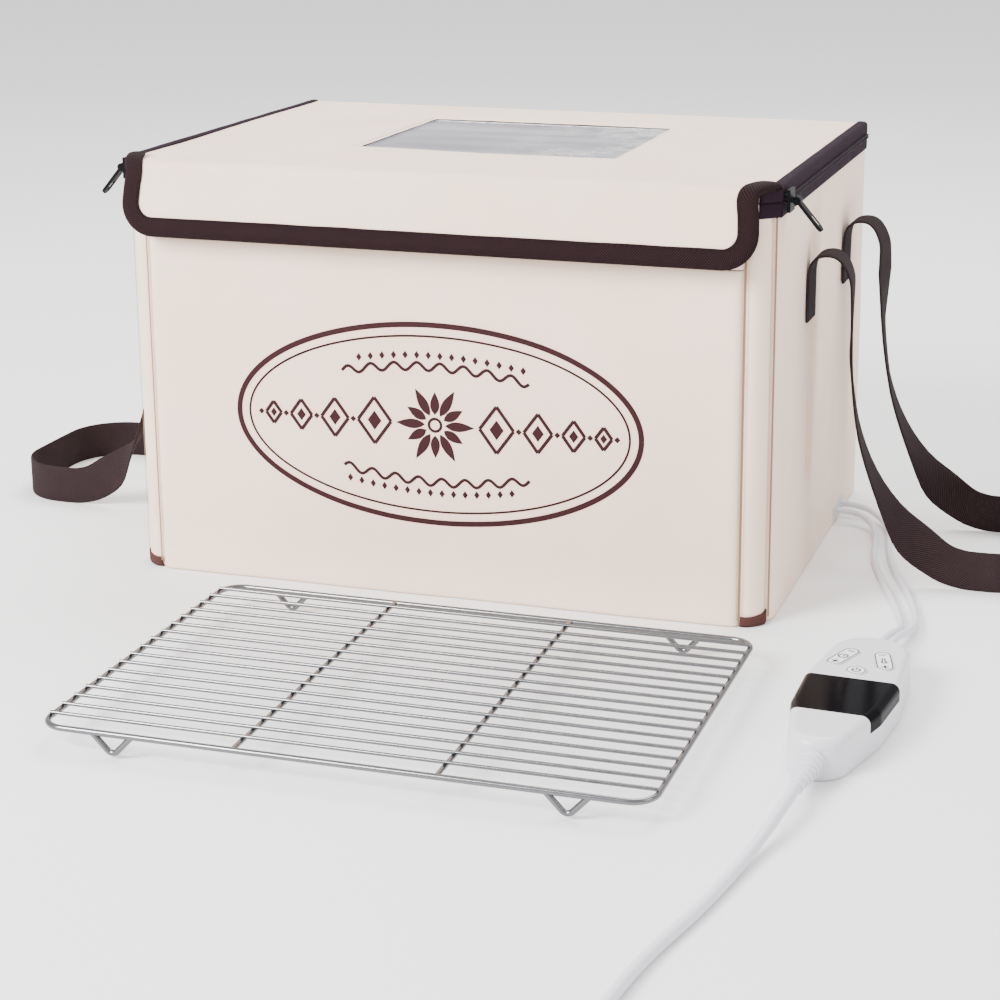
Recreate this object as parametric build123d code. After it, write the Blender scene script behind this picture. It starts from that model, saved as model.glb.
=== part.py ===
"""A folding bread proofer: a soft box of padded panels with a zipped lid, a heating mat and its
controller, carry handles and a wire rack. Millimetres, +Z up, front towards -Y, origin at the
centre of the underside."""

import os
from math import asin, cos, degrees, hypot, pi, radians, sin, tan

from build123d import *

# Box
box_width = 440.0
box_depth = 320.0
box_height = 280.0
cover_thick = 1.0  # outer fabric
foam_thick = 7.0  # foil-faced foam board behind it
corner_across = 18.0  # the soft front corners, along the front
corner_back = 16.0  # and along the side
seam_gap = 0.3  # between panels that fold past each other
base_thick = 5.0
liner_thick = 1.0

# Fold
curb_height = 46.0  # front and sides of the tray that stays upright
back_curb_rise = 3.0  # the back of the tray stands this much higher
header_high = 41.0  # the band behind the flap, above the front's upper seam

# Lid
lid_thick = 8.0
window_width = 180.0
window_depth = 150.0
window_back = 15.0  # the window's centre is behind the lid's
pane_thick = 0.5
pane_lap = 6.0
strip_thick = 1.4  # hinge strip under the lid's back edge
strip_depth = 30.0
strip_drop = 9.0

# Flap
flap_width = 424.0
flap_height = 48.0
flap_thick = 4.0
flap_round = 22.0
flap_lean = 12.0  # degrees off the front
flap_stand = 1.0  # in front of the lid's edge
binding_wide = 13.0
binding_thick = 0.6
hook_wide = 16.0
hook_long = 300.0
hook_thick = 2.0
hook_drop = 37.0  # middle of the closure below the lid's top

# Zips
tape_thick = 1.2
tape_wide = 9.5
teeth_proud = 2.0
teeth_high = 1.3
zip_end = 3.0  # tape stops this far short of the corner
slider_front = 25.0  # closed slider behind the front edge
slider_travel = 270.0
slider_long = 14.0
slider_high = 14.0
slider_wall = 2.0
bail_radius = 0.8
bail_reach = 3.2
post_thick = 1.2
pull_long = 24.0
pull_wide = 7.5
pull_thick = 2.0
pull_eye = 2.6
pull_angle = 40.0  # degrees outwards from hanging
pin_play = 0.08

# Handles
strap_wide = 27.0
strap_thick = 1.8
strap_front = -45.0
strap_back = 85.0
strap_foot = 100.0  # its lower end, below the lid's top
strap_riser = ((0, 0), (0, 36), (7, 42), (19.8, 42), (27.8, 28), (27.8, 6))  # out, above the foot
strap_fall = ((0, 0), (0, 0.24), (10, 0.56), (37, 0.86), (70, 0.997), (84, 1))  # out, share of drop
strap_bend = 3.0
loop_straight = 80.0  # its sides start this far out from the arch
loop_end = 385.0  # how far out the loop lies on the floor
loop_lift = 0.2
loop_round = 40.0
loop_bend = 6.0

# Heating mat
mat_width = 335.0
mat_depth = 240.0
mat_left = -185.0
sheet_thick = 1.2
element_thick = 0.6
element_edge = 12.0
gland_long = 14.0
gland_wide = 16.0
gland_high = 6.0
lead_radius = 2.2
lead_height = 9.5
heater_exit = 75.0
sensor_exit = 92.0
probe_radius = 2.5
probe_long = 30.0
probe_tip = 2.2
probe_back = 30.0  # its tail, in from the side of the box
gland_round = 3.0
grommet_wide = 34.0
grommet_high = 9.0
grommet_lip = 1.6
grommet_lap = 1.5

# Controller
unit_at = (295.0, -290.0)
unit_turn = -3.0
unit_split = 10.0
unit_high = 24.0
unit_wall = 2.2
unit_round = 5.0
unit_foot_round = 2.0
unit_circles = ((57.0, 24.0), (10.0, 28.0), (-25.0, 26.0), (-66.0, 17.0))  # along, radius
lens_from = -42.0
lens_to = 10.0
lens_thick = 1.2
lens_low = 14.0
lens_window = (40.0, 26.0)
board_inset = 4.5
board_thick = 1.6
board_lift = 9.0
board_half = 56.0
module_play = 0.5
post_radius = 2.0
posts = ((12.0, 48.0), (12.0, -44.0))  # across, along
switch_radius = 2.0
switch_gap = 0.1
switch_at = 9.0  # from the middle of a rocker
power_along = 21.0
power_radius = 6.0
key_proud = 0.8
key_travel = 0.6
key_play = 0.25
flange_gap = 0.1
flange_wide = 1.4
flange_thick = 1.0
rocker_long = 28.0
rocker_wide = 10.0
rocker_across = 12.0
rocker_along = 40.0
rocker_turn = 17.0
rocker_thick = 3.8
rocker_tilt = 3.0
rocker_end_play = 0.5
hub_radius = 2.0
trunnion_radius = 1.0
trunnion_drop = 4.0
trunnion_play = 0.05
lug_thick = 1.5
lug_long = 5.0
lug_gap = 0.4
boot_long = 24.0
boot_lead = 18.0  # straight run of each lead into the boot
boot_embed = 5.0  # of the boot and of the relief, inside the housing
boot_across = 3.0  # of each lead from the middle
boot_grooves = 3
boot_groove_step = 5.0
boot_round = 0.4  # share of its height
boot_wide = (18.0, 13.0)
boot_high = (11.0, 7.0)
relief_long = 38.0
relief_lead = 30.0  # straight run of the mains lead out of the relief
relief_radius = (8.6, 4.2)
relief_rings = 8
groove_deep = 0.9
screw_radius = 1.5
screw_head = 2.8
screw_head_high = 1.6
screw_seat = 3.0
screw_top = 16.0
screw_play = 0.1
screw_along = (62.0, -62.0)
boss_wall = 1.5
axis_height = 11.0

# Mains lead
mains_radius = 3.2
coil_turns = 3  # in each of two layers
coil_outer = 42.0
coil_pitch = 7.0
coil_lift = 1.1
coil_at_y = -710.0
coil_start_x = 250.0
coil_tail = 48.0
tie_gap = 0.2
tie_side_gap = 0.8
tie_round = 4.0
tie_wide = 10.0
tie_thick = 0.9
plug_long = 36.0
plug_wide = 25.0
plug_relief = 28.0
plug_relief_radius = (4.2, 6.6)
plug_round = 5.0
plug_rings = 4
blade_long = 17.0
blade_wide = 6.3
blade_thick = 1.5
blade_space = 12.7

# Wire rack
rack_width = 350.0
rack_depth = 240.0
rack_at = (50.0, -335.0)
rack_height = 16.0
border_radius = 1.75
wire_radius = 1.1
stay_radius = 1.5
rack_wires = 17
rack_corner = 14.0
foot_inset = 45.0
foot_half = 12.0
foot_bend = 4.0
weld = 0.3

# Where the cords turn on their way, from the box to the controller and on to the coil
heater_bends = ((237, 75, 9.5), (251, 62, 5), (257, 38, 2.2), (262, -6, 2.2), (276, -50, 2.2))
heater_bends += ((291, -92, 2.2), (301, -126, 2.2), (303, -150, 6.4))
sensor_bends = ((236, 92, 9.5), (252, 82, 5.5), (263, 60, 2.2), (269, 16, 2.2), (281, -29, 2.2))
sensor_bends += ((297, -71, 2.2), (308, -111, 2.2), (311, -141, 4.5))
mains_bends = ((279, -480, 3.6), (270, -535, 3.2), (256, -590, 3.2), (250, -650, 4.3))
bend_share = 0.45  # of a route's shorter run, that a bend may take

# Worked out from the above
wall = cover_thick + foam_thick
half_width = box_width / 2
half_depth = box_depth / 2
lid_under = box_height - lid_thick
front_seam = lid_under - header_high
back_curb = curb_height + back_curb_rise
strip_under = lid_under - strip_thick - seam_gap  # the panels stop under the hinge strip
back_half = (strip_under - seam_gap - back_curb) / 2
tub_floor = cover_thick + base_thick + liner_thick
front_half_wide = half_width - corner_across
strap_lines = (strap_front, strap_back)
teeth_out = half_width + tape_thick + teeth_proud
boot_end = unit_circles[0][0] + unit_circles[0][1] - boot_embed + boot_long
relief_end = unit_circles[-1][0] - unit_circles[-1][1] + boot_embed - relief_long


def block(x, y, z):
    """A box from its lowest to its highest corner."""
    size = (x[1] - x[0], y[1] - y[0], z[1] - z[0])
    middle = ((x[0] + x[1]) / 2, (y[0] + y[1]) / 2, (z[0] + z[1]) / 2)
    return Pos(*middle) * Box(*size)


def prism(points, z):
    """An upright prism on a plan outline."""
    outline = make_face(Polyline(*points, close=True))
    return extrude(Pos(0, 0, z[0]) * outline, z[1] - z[0])


def along_y(points, y):
    """A section of (x, z) points, run along Y."""
    outline = make_face(Polyline(*[(px, y[0], pz) for px, pz in points], close=True))
    return extrude(outline, y[1] - y[0], dir=(0, 1, 0))


def mirrored(shape):
    return mirror(shape, about=Plane.YZ)


def joined(*shapes):
    """Separate solids that share a node."""
    return Compound([solid for shape in shapes for solid in shape.solids()])


def box_plan(inset):
    """The box's outline, with its two soft front corners, drawn in by inset all round."""
    across, back = half_width - corner_across, corner_back - half_depth
    points = [(-half_width, back), (-across, -half_depth), (across, -half_depth)]
    points += [(half_width, back), (half_width, half_depth), (-half_width, half_depth)]
    outline = make_face(Polyline(*points, close=True))
    return offset(outline, amount=-inset, kind=Kind.INTERSECTION) if inset else outline


def slab(inset, z):
    return extrude(Pos(0, 0, z[0]) * box_plan(inset), z[1] - z[0])


def ring(outer, inner, z):
    return slab(outer, z) - slab(inner, (z[0] - 1, z[1] + 1))


def strap_band(points, radius, lines):
    """Webbing along (x, z) points, its width along Y, once for each y in lines."""
    path = FilletPolyline(*[(px, 0, pz) for px, pz in points], radius=radius)
    start = Plane(origin=path @ 0, x_dir=(0, 1, 0), z_dir=path % 0)
    band = sweep(start * Rectangle(strap_wide, strap_thick), path=path)
    return [Pos(0, y, 0) * band for y in lines]


def corner_radii(points):
    """For each corner of a cord's route, the largest bend that its two runs leave room for."""
    radii = []
    for a, b, c in zip(points, points[1:], points[2:]):
        before, after = Vector(*b) - Vector(*a), Vector(*c) - Vector(*b)
        half_turn = radians(before.get_angle(after) / 2)
        radii.append(bend_share * min(before.length, after.length) / tan(half_turn))
    return radii


def rod(path, radius):
    """A round section swept along a path."""
    return sweep(Plane(origin=path @ 0, z_dir=path % 0) * Circle(radius), path=path)


def cord(name, points, radius):
    """A cord's tube along its route."""
    radii = corner_radii(points)
    path = FilletPolyline(*points, radius=radii)
    tube = rod(path, radius)
    share = tube.volume / (pi * radius**2 * path.length)
    print(name, "length", round(path.length), "radii", [round(r) for r in radii])
    print(name, "volume over section times length", round(share, 4))
    return tube


# The tray that stays upright


def make_tub():
    floor, rest = cover_thick, cover_thick + base_thick
    lining = cover_thick + foam_thick - liner_thick
    slot = cable_slot(grommet_lap, (half_width - wall, half_width))
    back = block(
        (wall - half_width, half_width - wall),
        (half_depth - wall, half_depth),
        (curb_height, back_curb),
    )
    skin = half_depth - cover_thick
    back_foam = back & block((-half_width, half_width), (0, skin), (0, box_height))
    back_cover = back & block((-half_width, half_width), (skin, half_depth), (0, box_height))
    tray = slab(lining, (rest, curb_height)) - slab(wall, (rest + liner_thick, box_height))
    return {
        "bottom_cover": slab(cover_thick, (0, floor)),
        "base_board": slab(lining, (floor, rest)),
        "curb_foam": ring(cover_thick, lining, (floor, curb_height)) + back_foam - slot,
        "curb_cover": ring(0, cover_thick, (0, curb_height)) + back_cover - slot,
        "tub_liner": tray - slot,
        "cable_grommet": make_grommet(),
    }


def cable_slot(inset, x):
    """A rounded bar through the right-hand curb, drawn in from the grommet's outline by inset."""
    middle = (heater_exit + sensor_exit) / 2
    face = Plane(origin=(x[0], middle, lead_height), x_dir=(0, 1, 0), z_dir=(1, 0, 0))
    outline = SlotOverall(grommet_wide - 2 * inset, grommet_high - 2 * inset)
    return extrude(face * outline, x[1] - x[0])


def make_grommet():
    """Rubber, with a lip each side of the curb and a hole for each lead."""
    inner, outer = half_width - wall, half_width
    neck = cable_slot(grommet_lap, (inner, outer))
    inside = cable_slot(0, (inner - grommet_lip, inner))
    inside &= block((0, half_width), (0, half_depth), (tub_floor, curb_height))
    outside = cable_slot(0, (outer, outer + grommet_lip))
    grommet = neck + inside + outside
    for y in (heater_exit, sensor_exit):
        grommet -= lead((inner - wall, outer + wall), y)
    return grommet


def lead(x, y):
    """A straight lead along X between two x values."""
    middle = ((x[0] + x[1]) / 2, y, lead_height)
    return Pos(*middle) * Rot(0, 90, 0) * Cylinder(lead_radius, x[1] - x[0])


# Panels


def panel(wide, depth, z, outside):
    """A foam board and its cover, between two y values; the cover faces outside, -1 or 1."""
    front, back = depth
    if outside < 0:
        return (
            block((-wide, wide), (front + cover_thick, back), z),
            block((-wide, wide), (front, front + cover_thick), z),
        )
    return (
        block((-wide, wide), (front, back - cover_thick), z),
        block((-wide, wide), (back - cover_thick, back), z),
    )


def make_front():
    wide = front_half_wide - seam_gap
    depth = (-half_depth, wall - half_depth)
    lower = panel(wide, depth, (curb_height + seam_gap, front_seam - seam_gap), -1)
    upper = panel(wide, depth, (front_seam + seam_gap, lid_under - seam_gap), -1)
    middle = box_height - hook_drop
    tape = block(
        (-hook_long / 2, hook_long / 2),
        (-half_depth, cover_thick - half_depth),
        (middle - hook_wide / 2, middle + hook_wide / 2),
    )
    return {
        "front_board": lower[0],
        "front_cover": lower[1],
        "header_board": upper[0],
        "header_cover": upper[1] - tape,
        "loop_tape": tape,
    }


def make_back():
    wide = half_width - wall - seam_gap
    depth = (half_depth - wall, half_depth)
    knee = back_curb + back_half
    lower = panel(wide, depth, (back_curb + seam_gap, knee - seam_gap), 1)
    upper = panel(wide, depth, (knee + seam_gap, strip_under - seam_gap), 1)
    return {
        "back_lower_board": lower[0],
        "back_lower_cover": lower[1],
        "back_upper_board": upper[0],
        "back_upper_cover": upper[1],
    }


def make_hinge_strip():
    """The band that carries the lid: flat under its back edge, turned down behind the wall."""
    low, high = strip_under, strip_under + strip_thick
    inside, outside = half_depth + seam_gap, half_depth + seam_gap + strip_thick
    wide = half_width - wall - seam_gap
    points = [
        (half_depth - strip_depth, low),
        (inside, low),
        (inside, high - strip_drop),
        (outside, high - strip_drop),
        (outside, high),
        (half_depth - strip_depth, high),
    ]
    section = make_face(Polyline(*[(0, y, z) for y, z in points], close=True))
    return {"hinge_strip": extrude(section, wide, dir=(1, 0, 0), both=True)}


def make_walls():
    """Soft side walls, and the padded corners beside the front panel."""
    z = (curb_height, lid_under - seam_gap)
    inner = half_width - wall
    side = block((inner, half_width), (corner_back - half_depth, half_depth), z)
    corner = prism(
        [
            (front_half_wide, -half_depth),
            (half_width, corner_back - half_depth),
            (inner, corner_back - half_depth),
            (front_half_wide, wall - half_depth),
        ],
        z,
    )
    outer = half_width + tape_thick
    tape = along_y(
        [
            (half_width, z[1] - tape_wide),
            (outer, z[1] - tape_wide),
            (outer, z[1] - teeth_high),
            (outer + teeth_proud, z[1] - teeth_high),
            (outer + teeth_proud, z[1]),
            (half_width, z[1]),
        ],
        (corner_back - half_depth, half_depth - zip_end),
    )
    return {
        "side_wall_right": side,
        "side_wall_left": mirrored(side),
        "corner_gussets": joined(corner, mirrored(corner)),
        "wall_zip_tapes": joined(tape, mirrored(tape)),
    }


# Lid and flap


def make_lid():
    skin = box_height - cover_thick
    x, y = window_width / 2, window_depth / 2
    through = (lid_under - 1, box_height + 1)
    opening = block((-x, x), (window_back - y, window_back + y), through)
    x, y = x + pane_lap, y + pane_lap
    pane = block((-x, x), (window_back - y, window_back + y), (skin - pane_thick, skin))
    low, outer = lid_under + seam_gap, half_width + tape_thick
    tape = along_y(
        [
            (half_width, low),
            (outer + teeth_proud, low),
            (outer + teeth_proud, low + teeth_high),
            (outer, low + teeth_high),
            (outer, box_height),
            (half_width, box_height),
        ],
        (corner_back - half_depth, half_depth - zip_end),
    )
    return {
        "lid_board": slab(0, (lid_under, skin)) - opening - pane,
        "lid_cover": slab(0, (skin, box_height)) - opening,
        "window_pane": pane,
        "lid_zip_tapes": joined(tape, mirrored(tape)),
    }


def flap_sheet(inset, depth, top):
    """The flap's outline between two y values, drawn in at its sides and foot."""
    x, low = flap_width / 2 - inset, box_height - flap_height + inset
    round_off = flap_round - inset
    shape = make_face(Polyline((-x, top), (-x, low), (x, low), (x, top), close=True))
    shape = fillet(shape.vertices().sort_by(Axis.Y)[:2], round_off)
    upright = Plane(origin=(0, depth[1], 0), x_dir=(1, 0, 0), z_dir=(0, -1, 0))
    return extrude(upright * shape, depth[1] - depth[0])


def make_flap():
    back = -half_depth - flap_stand
    front = back - flap_thick
    top = box_height - seam_gap
    core = flap_sheet(binding_thick, (front, back), top)
    wrap = flap_sheet(0, (front - binding_thick, back + binding_thick), top - 2 * seam_gap)
    bare = flap_sheet(binding_wide, (front - wall, back + wall), top + wall)
    middle = box_height - hook_drop
    hooks = block(
        (-hook_long / 2, hook_long / 2),
        (back, back + hook_thick),
        (middle - hook_wide / 2, middle + hook_wide / 2),
    )
    binding = wrap - bare - core
    pieces = {"flap_panel": core, "flap_binding": binding, "hook_tape": hooks - binding}
    pivot = Axis((0, back, box_height), (-1, 0, 0))
    return {name: piece.rotate(pivot, flap_lean) for name, piece in pieces.items()}


# Zip sliders and their pulls


def make_slider():
    """The right-hand slider: a plate over the teeth, a lip above them and a bail for the pull."""
    x = (teeth_out + seam_gap, teeth_out + seam_gap + slider_wall)
    y = slider_front - half_depth
    span = (y - slider_long / 2, y + slider_long / 2)
    middle = lid_under
    z = (middle - slider_high / 2, middle + slider_high / 2)
    lip_low = lid_under + teeth_high + 2 * seam_gap
    body = block(x, span, z)
    lip = (half_width + tape_thick + seam_gap, x[0])
    body += block(lip, span, (lip_low, lip_low + slider_wall))
    for side in (-1, 1):
        post = y + side * (pull_wide / 2 + post_thick / 2 + seam_gap)
        ends = (post - post_thick / 2, post + post_thick / 2)
        reach = (x[1], x[1] + bail_reach + bail_radius)
        body += block(reach, ends, (middle - bail_radius, middle + bail_radius))
    bar = Rot(90, 0, 0) * Cylinder(bail_radius, pull_wide + 2 * seam_gap + post_thick)
    return body + Pos(x[1] + bail_reach, y, middle) * bar


def bail_centre():
    return teeth_out + seam_gap + slider_wall + bail_reach, slider_front - half_depth, lid_under


def make_pull():
    """A pull with an eye round the bail and an oval hole, hanging outwards."""
    x, y, z = bail_centre()
    eye = Rot(90, 0, 0) * Cylinder(pull_eye, pull_wide)
    bore = Rot(90, 0, 0) * Cylinder(bail_radius + pin_play, pull_wide + 2)
    tab = Rot(0, 90, 0) * extrude(SlotOverall(pull_long, pull_wide), pull_thick / 2, both=True)
    hole = extrude(SlotOverall(pull_long / 3, pull_wide / 2), pull_thick, both=True)
    hole = Pos(0, 0, pull_wide - pull_long) * Rot(0, 90, 0) * hole
    tab = Pos(0, 0, -pull_long / 2) * tab
    shape = eye + tab - hole - bore
    return Pos(x, y, z) * Rot(0, -pull_angle, 0) * shape


# Carry handles


def make_handle():
    """The right-hand handle: two risers off the side wall, and the loop that hangs from them."""
    wall_x = half_width + seam_gap + strap_thick / 2
    foot = box_height - strap_foot
    riser = [(wall_x + out, foot + rise) for out, rise in strap_riser]
    arch, pivot = riser[-1]
    drop = pivot - strap_wide / 2
    fall = [(arch + out, pivot - share * drop) for out, share in strap_fall]
    near = arch + loop_straight
    middle = (strap_front + strap_back) / 2
    wide = strap_back - strap_front + strap_thick
    outline = Pos((near + loop_end) / 2, middle) * Rectangle(loop_end - near, wide)
    outline = fillet(outline.vertices().sort_by(Axis.X)[-2:], loop_round)
    hole = offset(outline, amount=-strap_thick, kind=Kind.INTERSECTION)
    rim = outline - hole - Pos(-strap_thick, 0) * hole
    bend = extrude(Pos(0, 0, loop_lift) * rim, strap_wide)
    mount = joined(*strap_band(riser, strap_bend, strap_lines))
    return mount, bend + strap_band(fall, loop_bend, strap_lines)


def make_sides():
    """What both sides have: a slider, its pull and a handle."""
    mount, loop = make_handle()
    right = {
        "zip_slider": make_slider(),
        "pull_tab": make_pull(),
        "handle_mount": mount,
        "handle_loop": loop,
    }
    pieces = {}
    for name, shape in right.items():
        pieces[name + "_right"] = shape
        pieces[name + "_left"] = mirrored(shape)
    return pieces


# Heating mat and its leads


def make_mat():
    right = mat_left + mat_width
    y = mat_depth / 2
    z = tub_floor + sheet_thick / 2
    film = block(
        (mat_left + element_edge, right - element_edge),
        (element_edge - y, y - element_edge),
        (z - element_thick / 2, z + element_thick / 2),
    )
    sheets = block((mat_left, right), (-y, y), (tub_floor, tub_floor + sheet_thick)) - film
    half = gland_wide / 2
    gland = block(
        (right, right + gland_long),
        (heater_exit - half, heater_exit + half),
        (tub_floor, tub_floor + gland_high),
    )
    gland = fillet(gland.edges().filter_by(Axis.Z).sort_by(Axis.X)[-2:], gland_round)
    tail, out = half_width - probe_back, half_width + grommet_lip
    leads = joined(
        lead((right + gland_long / 2, out), heater_exit),
        lead((tail, out), sensor_exit),
    )
    probe = Rot(0, 90, 0) * Cylinder(probe_radius, probe_long)
    probe = fillet(probe.faces().sort_by(Axis.X)[0].edges(), probe_tip)
    probe = Pos(tail - probe_long / 2, sensor_exit, tub_floor + probe_radius) * probe
    return {
        "mat_sheets": sheets,
        "heating_element": film,
        "mat_gland": gland - lead((right + gland_long / 2, out), heater_exit),
        "inner_leads": leads,
        "temperature_probe": probe,
    }


def make_cords():
    """The heater's and the sensor's cords, from the grommet along the table to the controller."""
    out, coil_high = half_width + grommet_lip, mains_radius + coil_lift
    routes = []
    for across, side, bends in (
        (-boot_across, heater_exit, heater_bends),
        (boot_across, sensor_exit, sensor_bends),
    ):
        ends = [unit_point(across, boot_end + run, axis_height) for run in (boot_lead, 0)]
        routes.append([(out, side, lead_height), *bends, *ends])
    heater, sensor = routes
    mains = [unit_point(0, relief_end - run, axis_height) for run in (0, relief_lead)]
    mains += [*mains_bends, (coil_start_x, coil_at_y + 2 * mains_radius, coil_high)]
    return {
        "heater_cord": cord("heater_cord", heater, lead_radius),
        "sensor_cord": cord("sensor_cord", sensor, lead_radius),
        "mains_cord": cord("mains_cord", mains, mains_radius),
    }


# The mains lead's spare length, its tie and its plug


def coil_path():
    """Half turns inwards on the table, a climb, and half turns outwards on top of them."""
    x, y, z = coil_start_x, coil_at_y, mains_radius + coil_lift
    edges = [Line((x, y + 2 * mains_radius, z), (x, y, z))]
    side = 1
    inwards = [coil_outer - step * coil_pitch / 2 for step in range(2 * coil_turns)]
    for radius in inwards:
        reach = side * radius
        edges.append(ThreePointArc((x, y, z), (x - reach, y - reach, z), (x - 2 * reach, y, z)))
        x -= 2 * reach
        side = -side
    radius = inwards[-1] - coil_pitch / 2
    top = z + coil_pitch
    crown = (x - radius, y - hypot(radius, coil_pitch / 2), z + coil_pitch / 2)
    first = TangentArc((x, y, z), crown, tangent=(0, -1, 0))
    second = TangentArc(crown, (x - 2 * radius, y, top), tangent=first % 1)
    edges += [first, second]
    x -= 2 * radius
    side = -1
    for radius in inwards[:0:-1]:
        reach = side * radius
        edges.append(
            ThreePointArc((x, y, top), (x - reach, y - reach, top), (x - 2 * reach, y, top))
        )
        x -= 2 * reach
        side = -side
    edges.append(Line((x, y, top), (x, y - coil_tail, top)))
    return Wire(edges)


def least_gap(path, radius):
    """The least space between two turns of a tube, measured on points along it."""
    count = int(path.length / radius)
    points = [path @ (i / count) for i in range(count + 1)]
    apart = int(6 * radius / (path.length / count)) + 1
    gaps = [
        (points[i] - points[j]).length
        for i in range(count + 1)
        for j in range(i + apart, count + 1)
    ]
    return min(gaps) - 2 * radius


def make_coil():
    path = coil_path()
    tube = rod(path, mains_radius)
    share = tube.volume / (pi * mains_radius**2 * path.length)
    gap = least_gap(path, mains_radius)
    print("mains_coil length", round(path.length), "least gap", round(gap, 2))
    print("mains_coil volume over section times length", round(share, 4))
    left = coil_start_x - 2 * coil_outer - mains_radius - tie_side_gap
    right = left + coil_turns * coil_pitch + 2 * (mains_radius + tie_side_gap)
    low = coil_lift - tie_gap
    high = coil_lift + coil_pitch + 2 * mains_radius + tie_gap
    across = Plane(
        origin=((left + right) / 2, coil_at_y - tie_wide / 2, (low + high) / 2),
        x_dir=(1, 0, 0),
        z_dir=(0, 1, 0),
    )
    hole = RectangleRounded(right - left, high - low, tie_round)
    band = offset(hole, amount=tie_thick) - hole
    return {"mains_coil": tube, "coil_tie": extrude(across * band, tie_wide)}


def ribbed(long, radii, rings):
    """A tapered relief along +Z, from its first radius to its second, with rings and grooves."""
    step = long / rings
    points = [(0, 0)]
    for ring_at in range(rings):
        low = ring_at * step
        radius = radii[0] + (radii[1] - radii[0]) * ring_at / (rings - 1)
        groove = radius - groove_deep
        points += [(radius, low), (radius, low + step / 2)]
        if ring_at < rings - 1:
            points += [(groove, low + step / 2), (groove, low + step)]
    points += [(radii[1], long), (0, long)]
    profile = make_face(Polyline(*[(r, 0, z) for r, z in points], close=True))
    return revolve(profile, axis=Axis.Z)


def make_plug():
    y = coil_at_y - coil_tail
    axis = mains_radius + coil_lift + coil_pitch
    relief = ribbed(plug_relief, plug_relief_radius, plug_rings)
    relief = Pos(coil_start_x, y, axis) * Rot(90, 0, 0) * relief
    face = y - plug_relief
    body = block(
        (coil_start_x - plug_wide / 2, coil_start_x + plug_wide / 2),
        (face - plug_long, face),
        (0, 2 * axis),
    )
    body = fillet(body.edges().filter_by(Axis.Y), plug_round)
    tip = face - plug_long
    blades = []
    for side in (-1, 1):
        x = coil_start_x + side * blade_space / 2
        blades.append(
            block(
                (x - blade_thick / 2, x + blade_thick / 2),
                (tip - blade_long, tip),
                (axis - blade_wide / 2, axis + blade_wide / 2),
            )
        )
    return {"plug_body": body + relief, "plug_blades": joined(*blades)}


# Controller


def unit_point(across, along, height):
    """A point on the controller, from its own axes to the part's."""
    turn = radians(unit_turn)
    x = unit_at[0] + across * cos(turn) - along * sin(turn)
    y = unit_at[1] + across * sin(turn) + along * cos(turn)
    return x, y, height


def unit_plan(inset):
    """The controller's outline drawn in by inset: circles along its axis and their tangents."""
    rounds = [(along, radius - inset) for along, radius in unit_circles]
    slopes = [(r2 - r1) / (a1 - a2) for (a1, r1), (a2, r2) in zip(rounds, rounds[1:])]
    tilts = [90, *[degrees(asin(slope)) for slope in slopes], -90]

    def rim(circle, tilt, side):
        along, radius = circle
        turn = radians(tilt)
        return side * radius * cos(turn), along + radius * sin(turn)

    edges = []
    for side in (-1, 1):
        for circle, start, end in zip(rounds, tilts, tilts[1:]):
            arc = [rim(circle, tilt, side) for tilt in (start, (start + end) / 2, end)]
            edges.append(ThreePointArc(*arc))
        for upper, lower, tilt in zip(rounds, rounds[1:], tilts[1:]):
            edges.append(Line(rim(upper, tilt, side), rim(lower, tilt, side)))
    return make_face(edges)


def unit_top(inset):
    """The upper housing's outside, drawn in by inset, with its rounded upper edge."""
    body = extrude(Pos(0, 0, unit_split) * unit_plan(inset), unit_high - unit_split - inset)
    return fillet(body.faces().sort_by(Axis.Z)[-1].edges(), unit_round - inset)


def upright(radius, at, z):
    return Pos(*at, (z[0] + z[1]) / 2) * Cylinder(radius, z[1] - z[0])


def rocker_place(side):
    return Pos(side * rocker_across, rocker_along, 0) * Rot(0, 0, side * rocker_turn)


def pill(play_long, play_wide, z):
    """The rocker key's outline, made larger by a play at each end and side."""
    outline = SlotOverall(rocker_long + 2 * play_long, rocker_wide + 2 * play_wide)
    return extrude(Pos(0, 0, z[0]) * Rot(0, 0, 90) * outline, z[1] - z[0])


def make_rocker():
    top = unit_high + key_proud
    axle = unit_high - trunnion_drop
    hub = Pos(0, 0, axle) * Rot(0, 90, 0) * Cylinder(hub_radius, rocker_wide)
    reach = rocker_wide + 2 * (lug_gap + lug_thick)
    pins = Pos(0, 0, axle) * Rot(0, 90, 0) * Cylinder(trunnion_radius, reach)
    return pill(0, 0, (top - rocker_thick, top)) + hub + pins


def make_lugs():
    """The two lugs under the housing that a rocker's pins turn in."""
    axle = unit_high - trunnion_drop
    low = axle - trunnion_radius - lug_gap - trunnion_play
    bore = Rot(0, 90, 0) * Cylinder(trunnion_radius + trunnion_play, 3 * rocker_wide)
    lugs = []
    for side in (-1, 1):
        near = side * (rocker_wide / 2 + lug_gap)
        far = near + side * lug_thick
        x, y = (min(near, far), max(near, far)), (-lug_long / 2, lug_long / 2)
        lug = block(x, y, (low, unit_high - unit_wall))
        lugs.append(lug - Pos(0, 0, axle) * bore)
    return lugs


def make_screws():
    screws = []
    for along in screw_along:
        head = upright(screw_head, (0, along), (screw_seat - screw_head_high, screw_seat))
        screws.append(head + upright(screw_radius, (0, along), (screw_seat, screw_top)))
    return joined(*screws)


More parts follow.
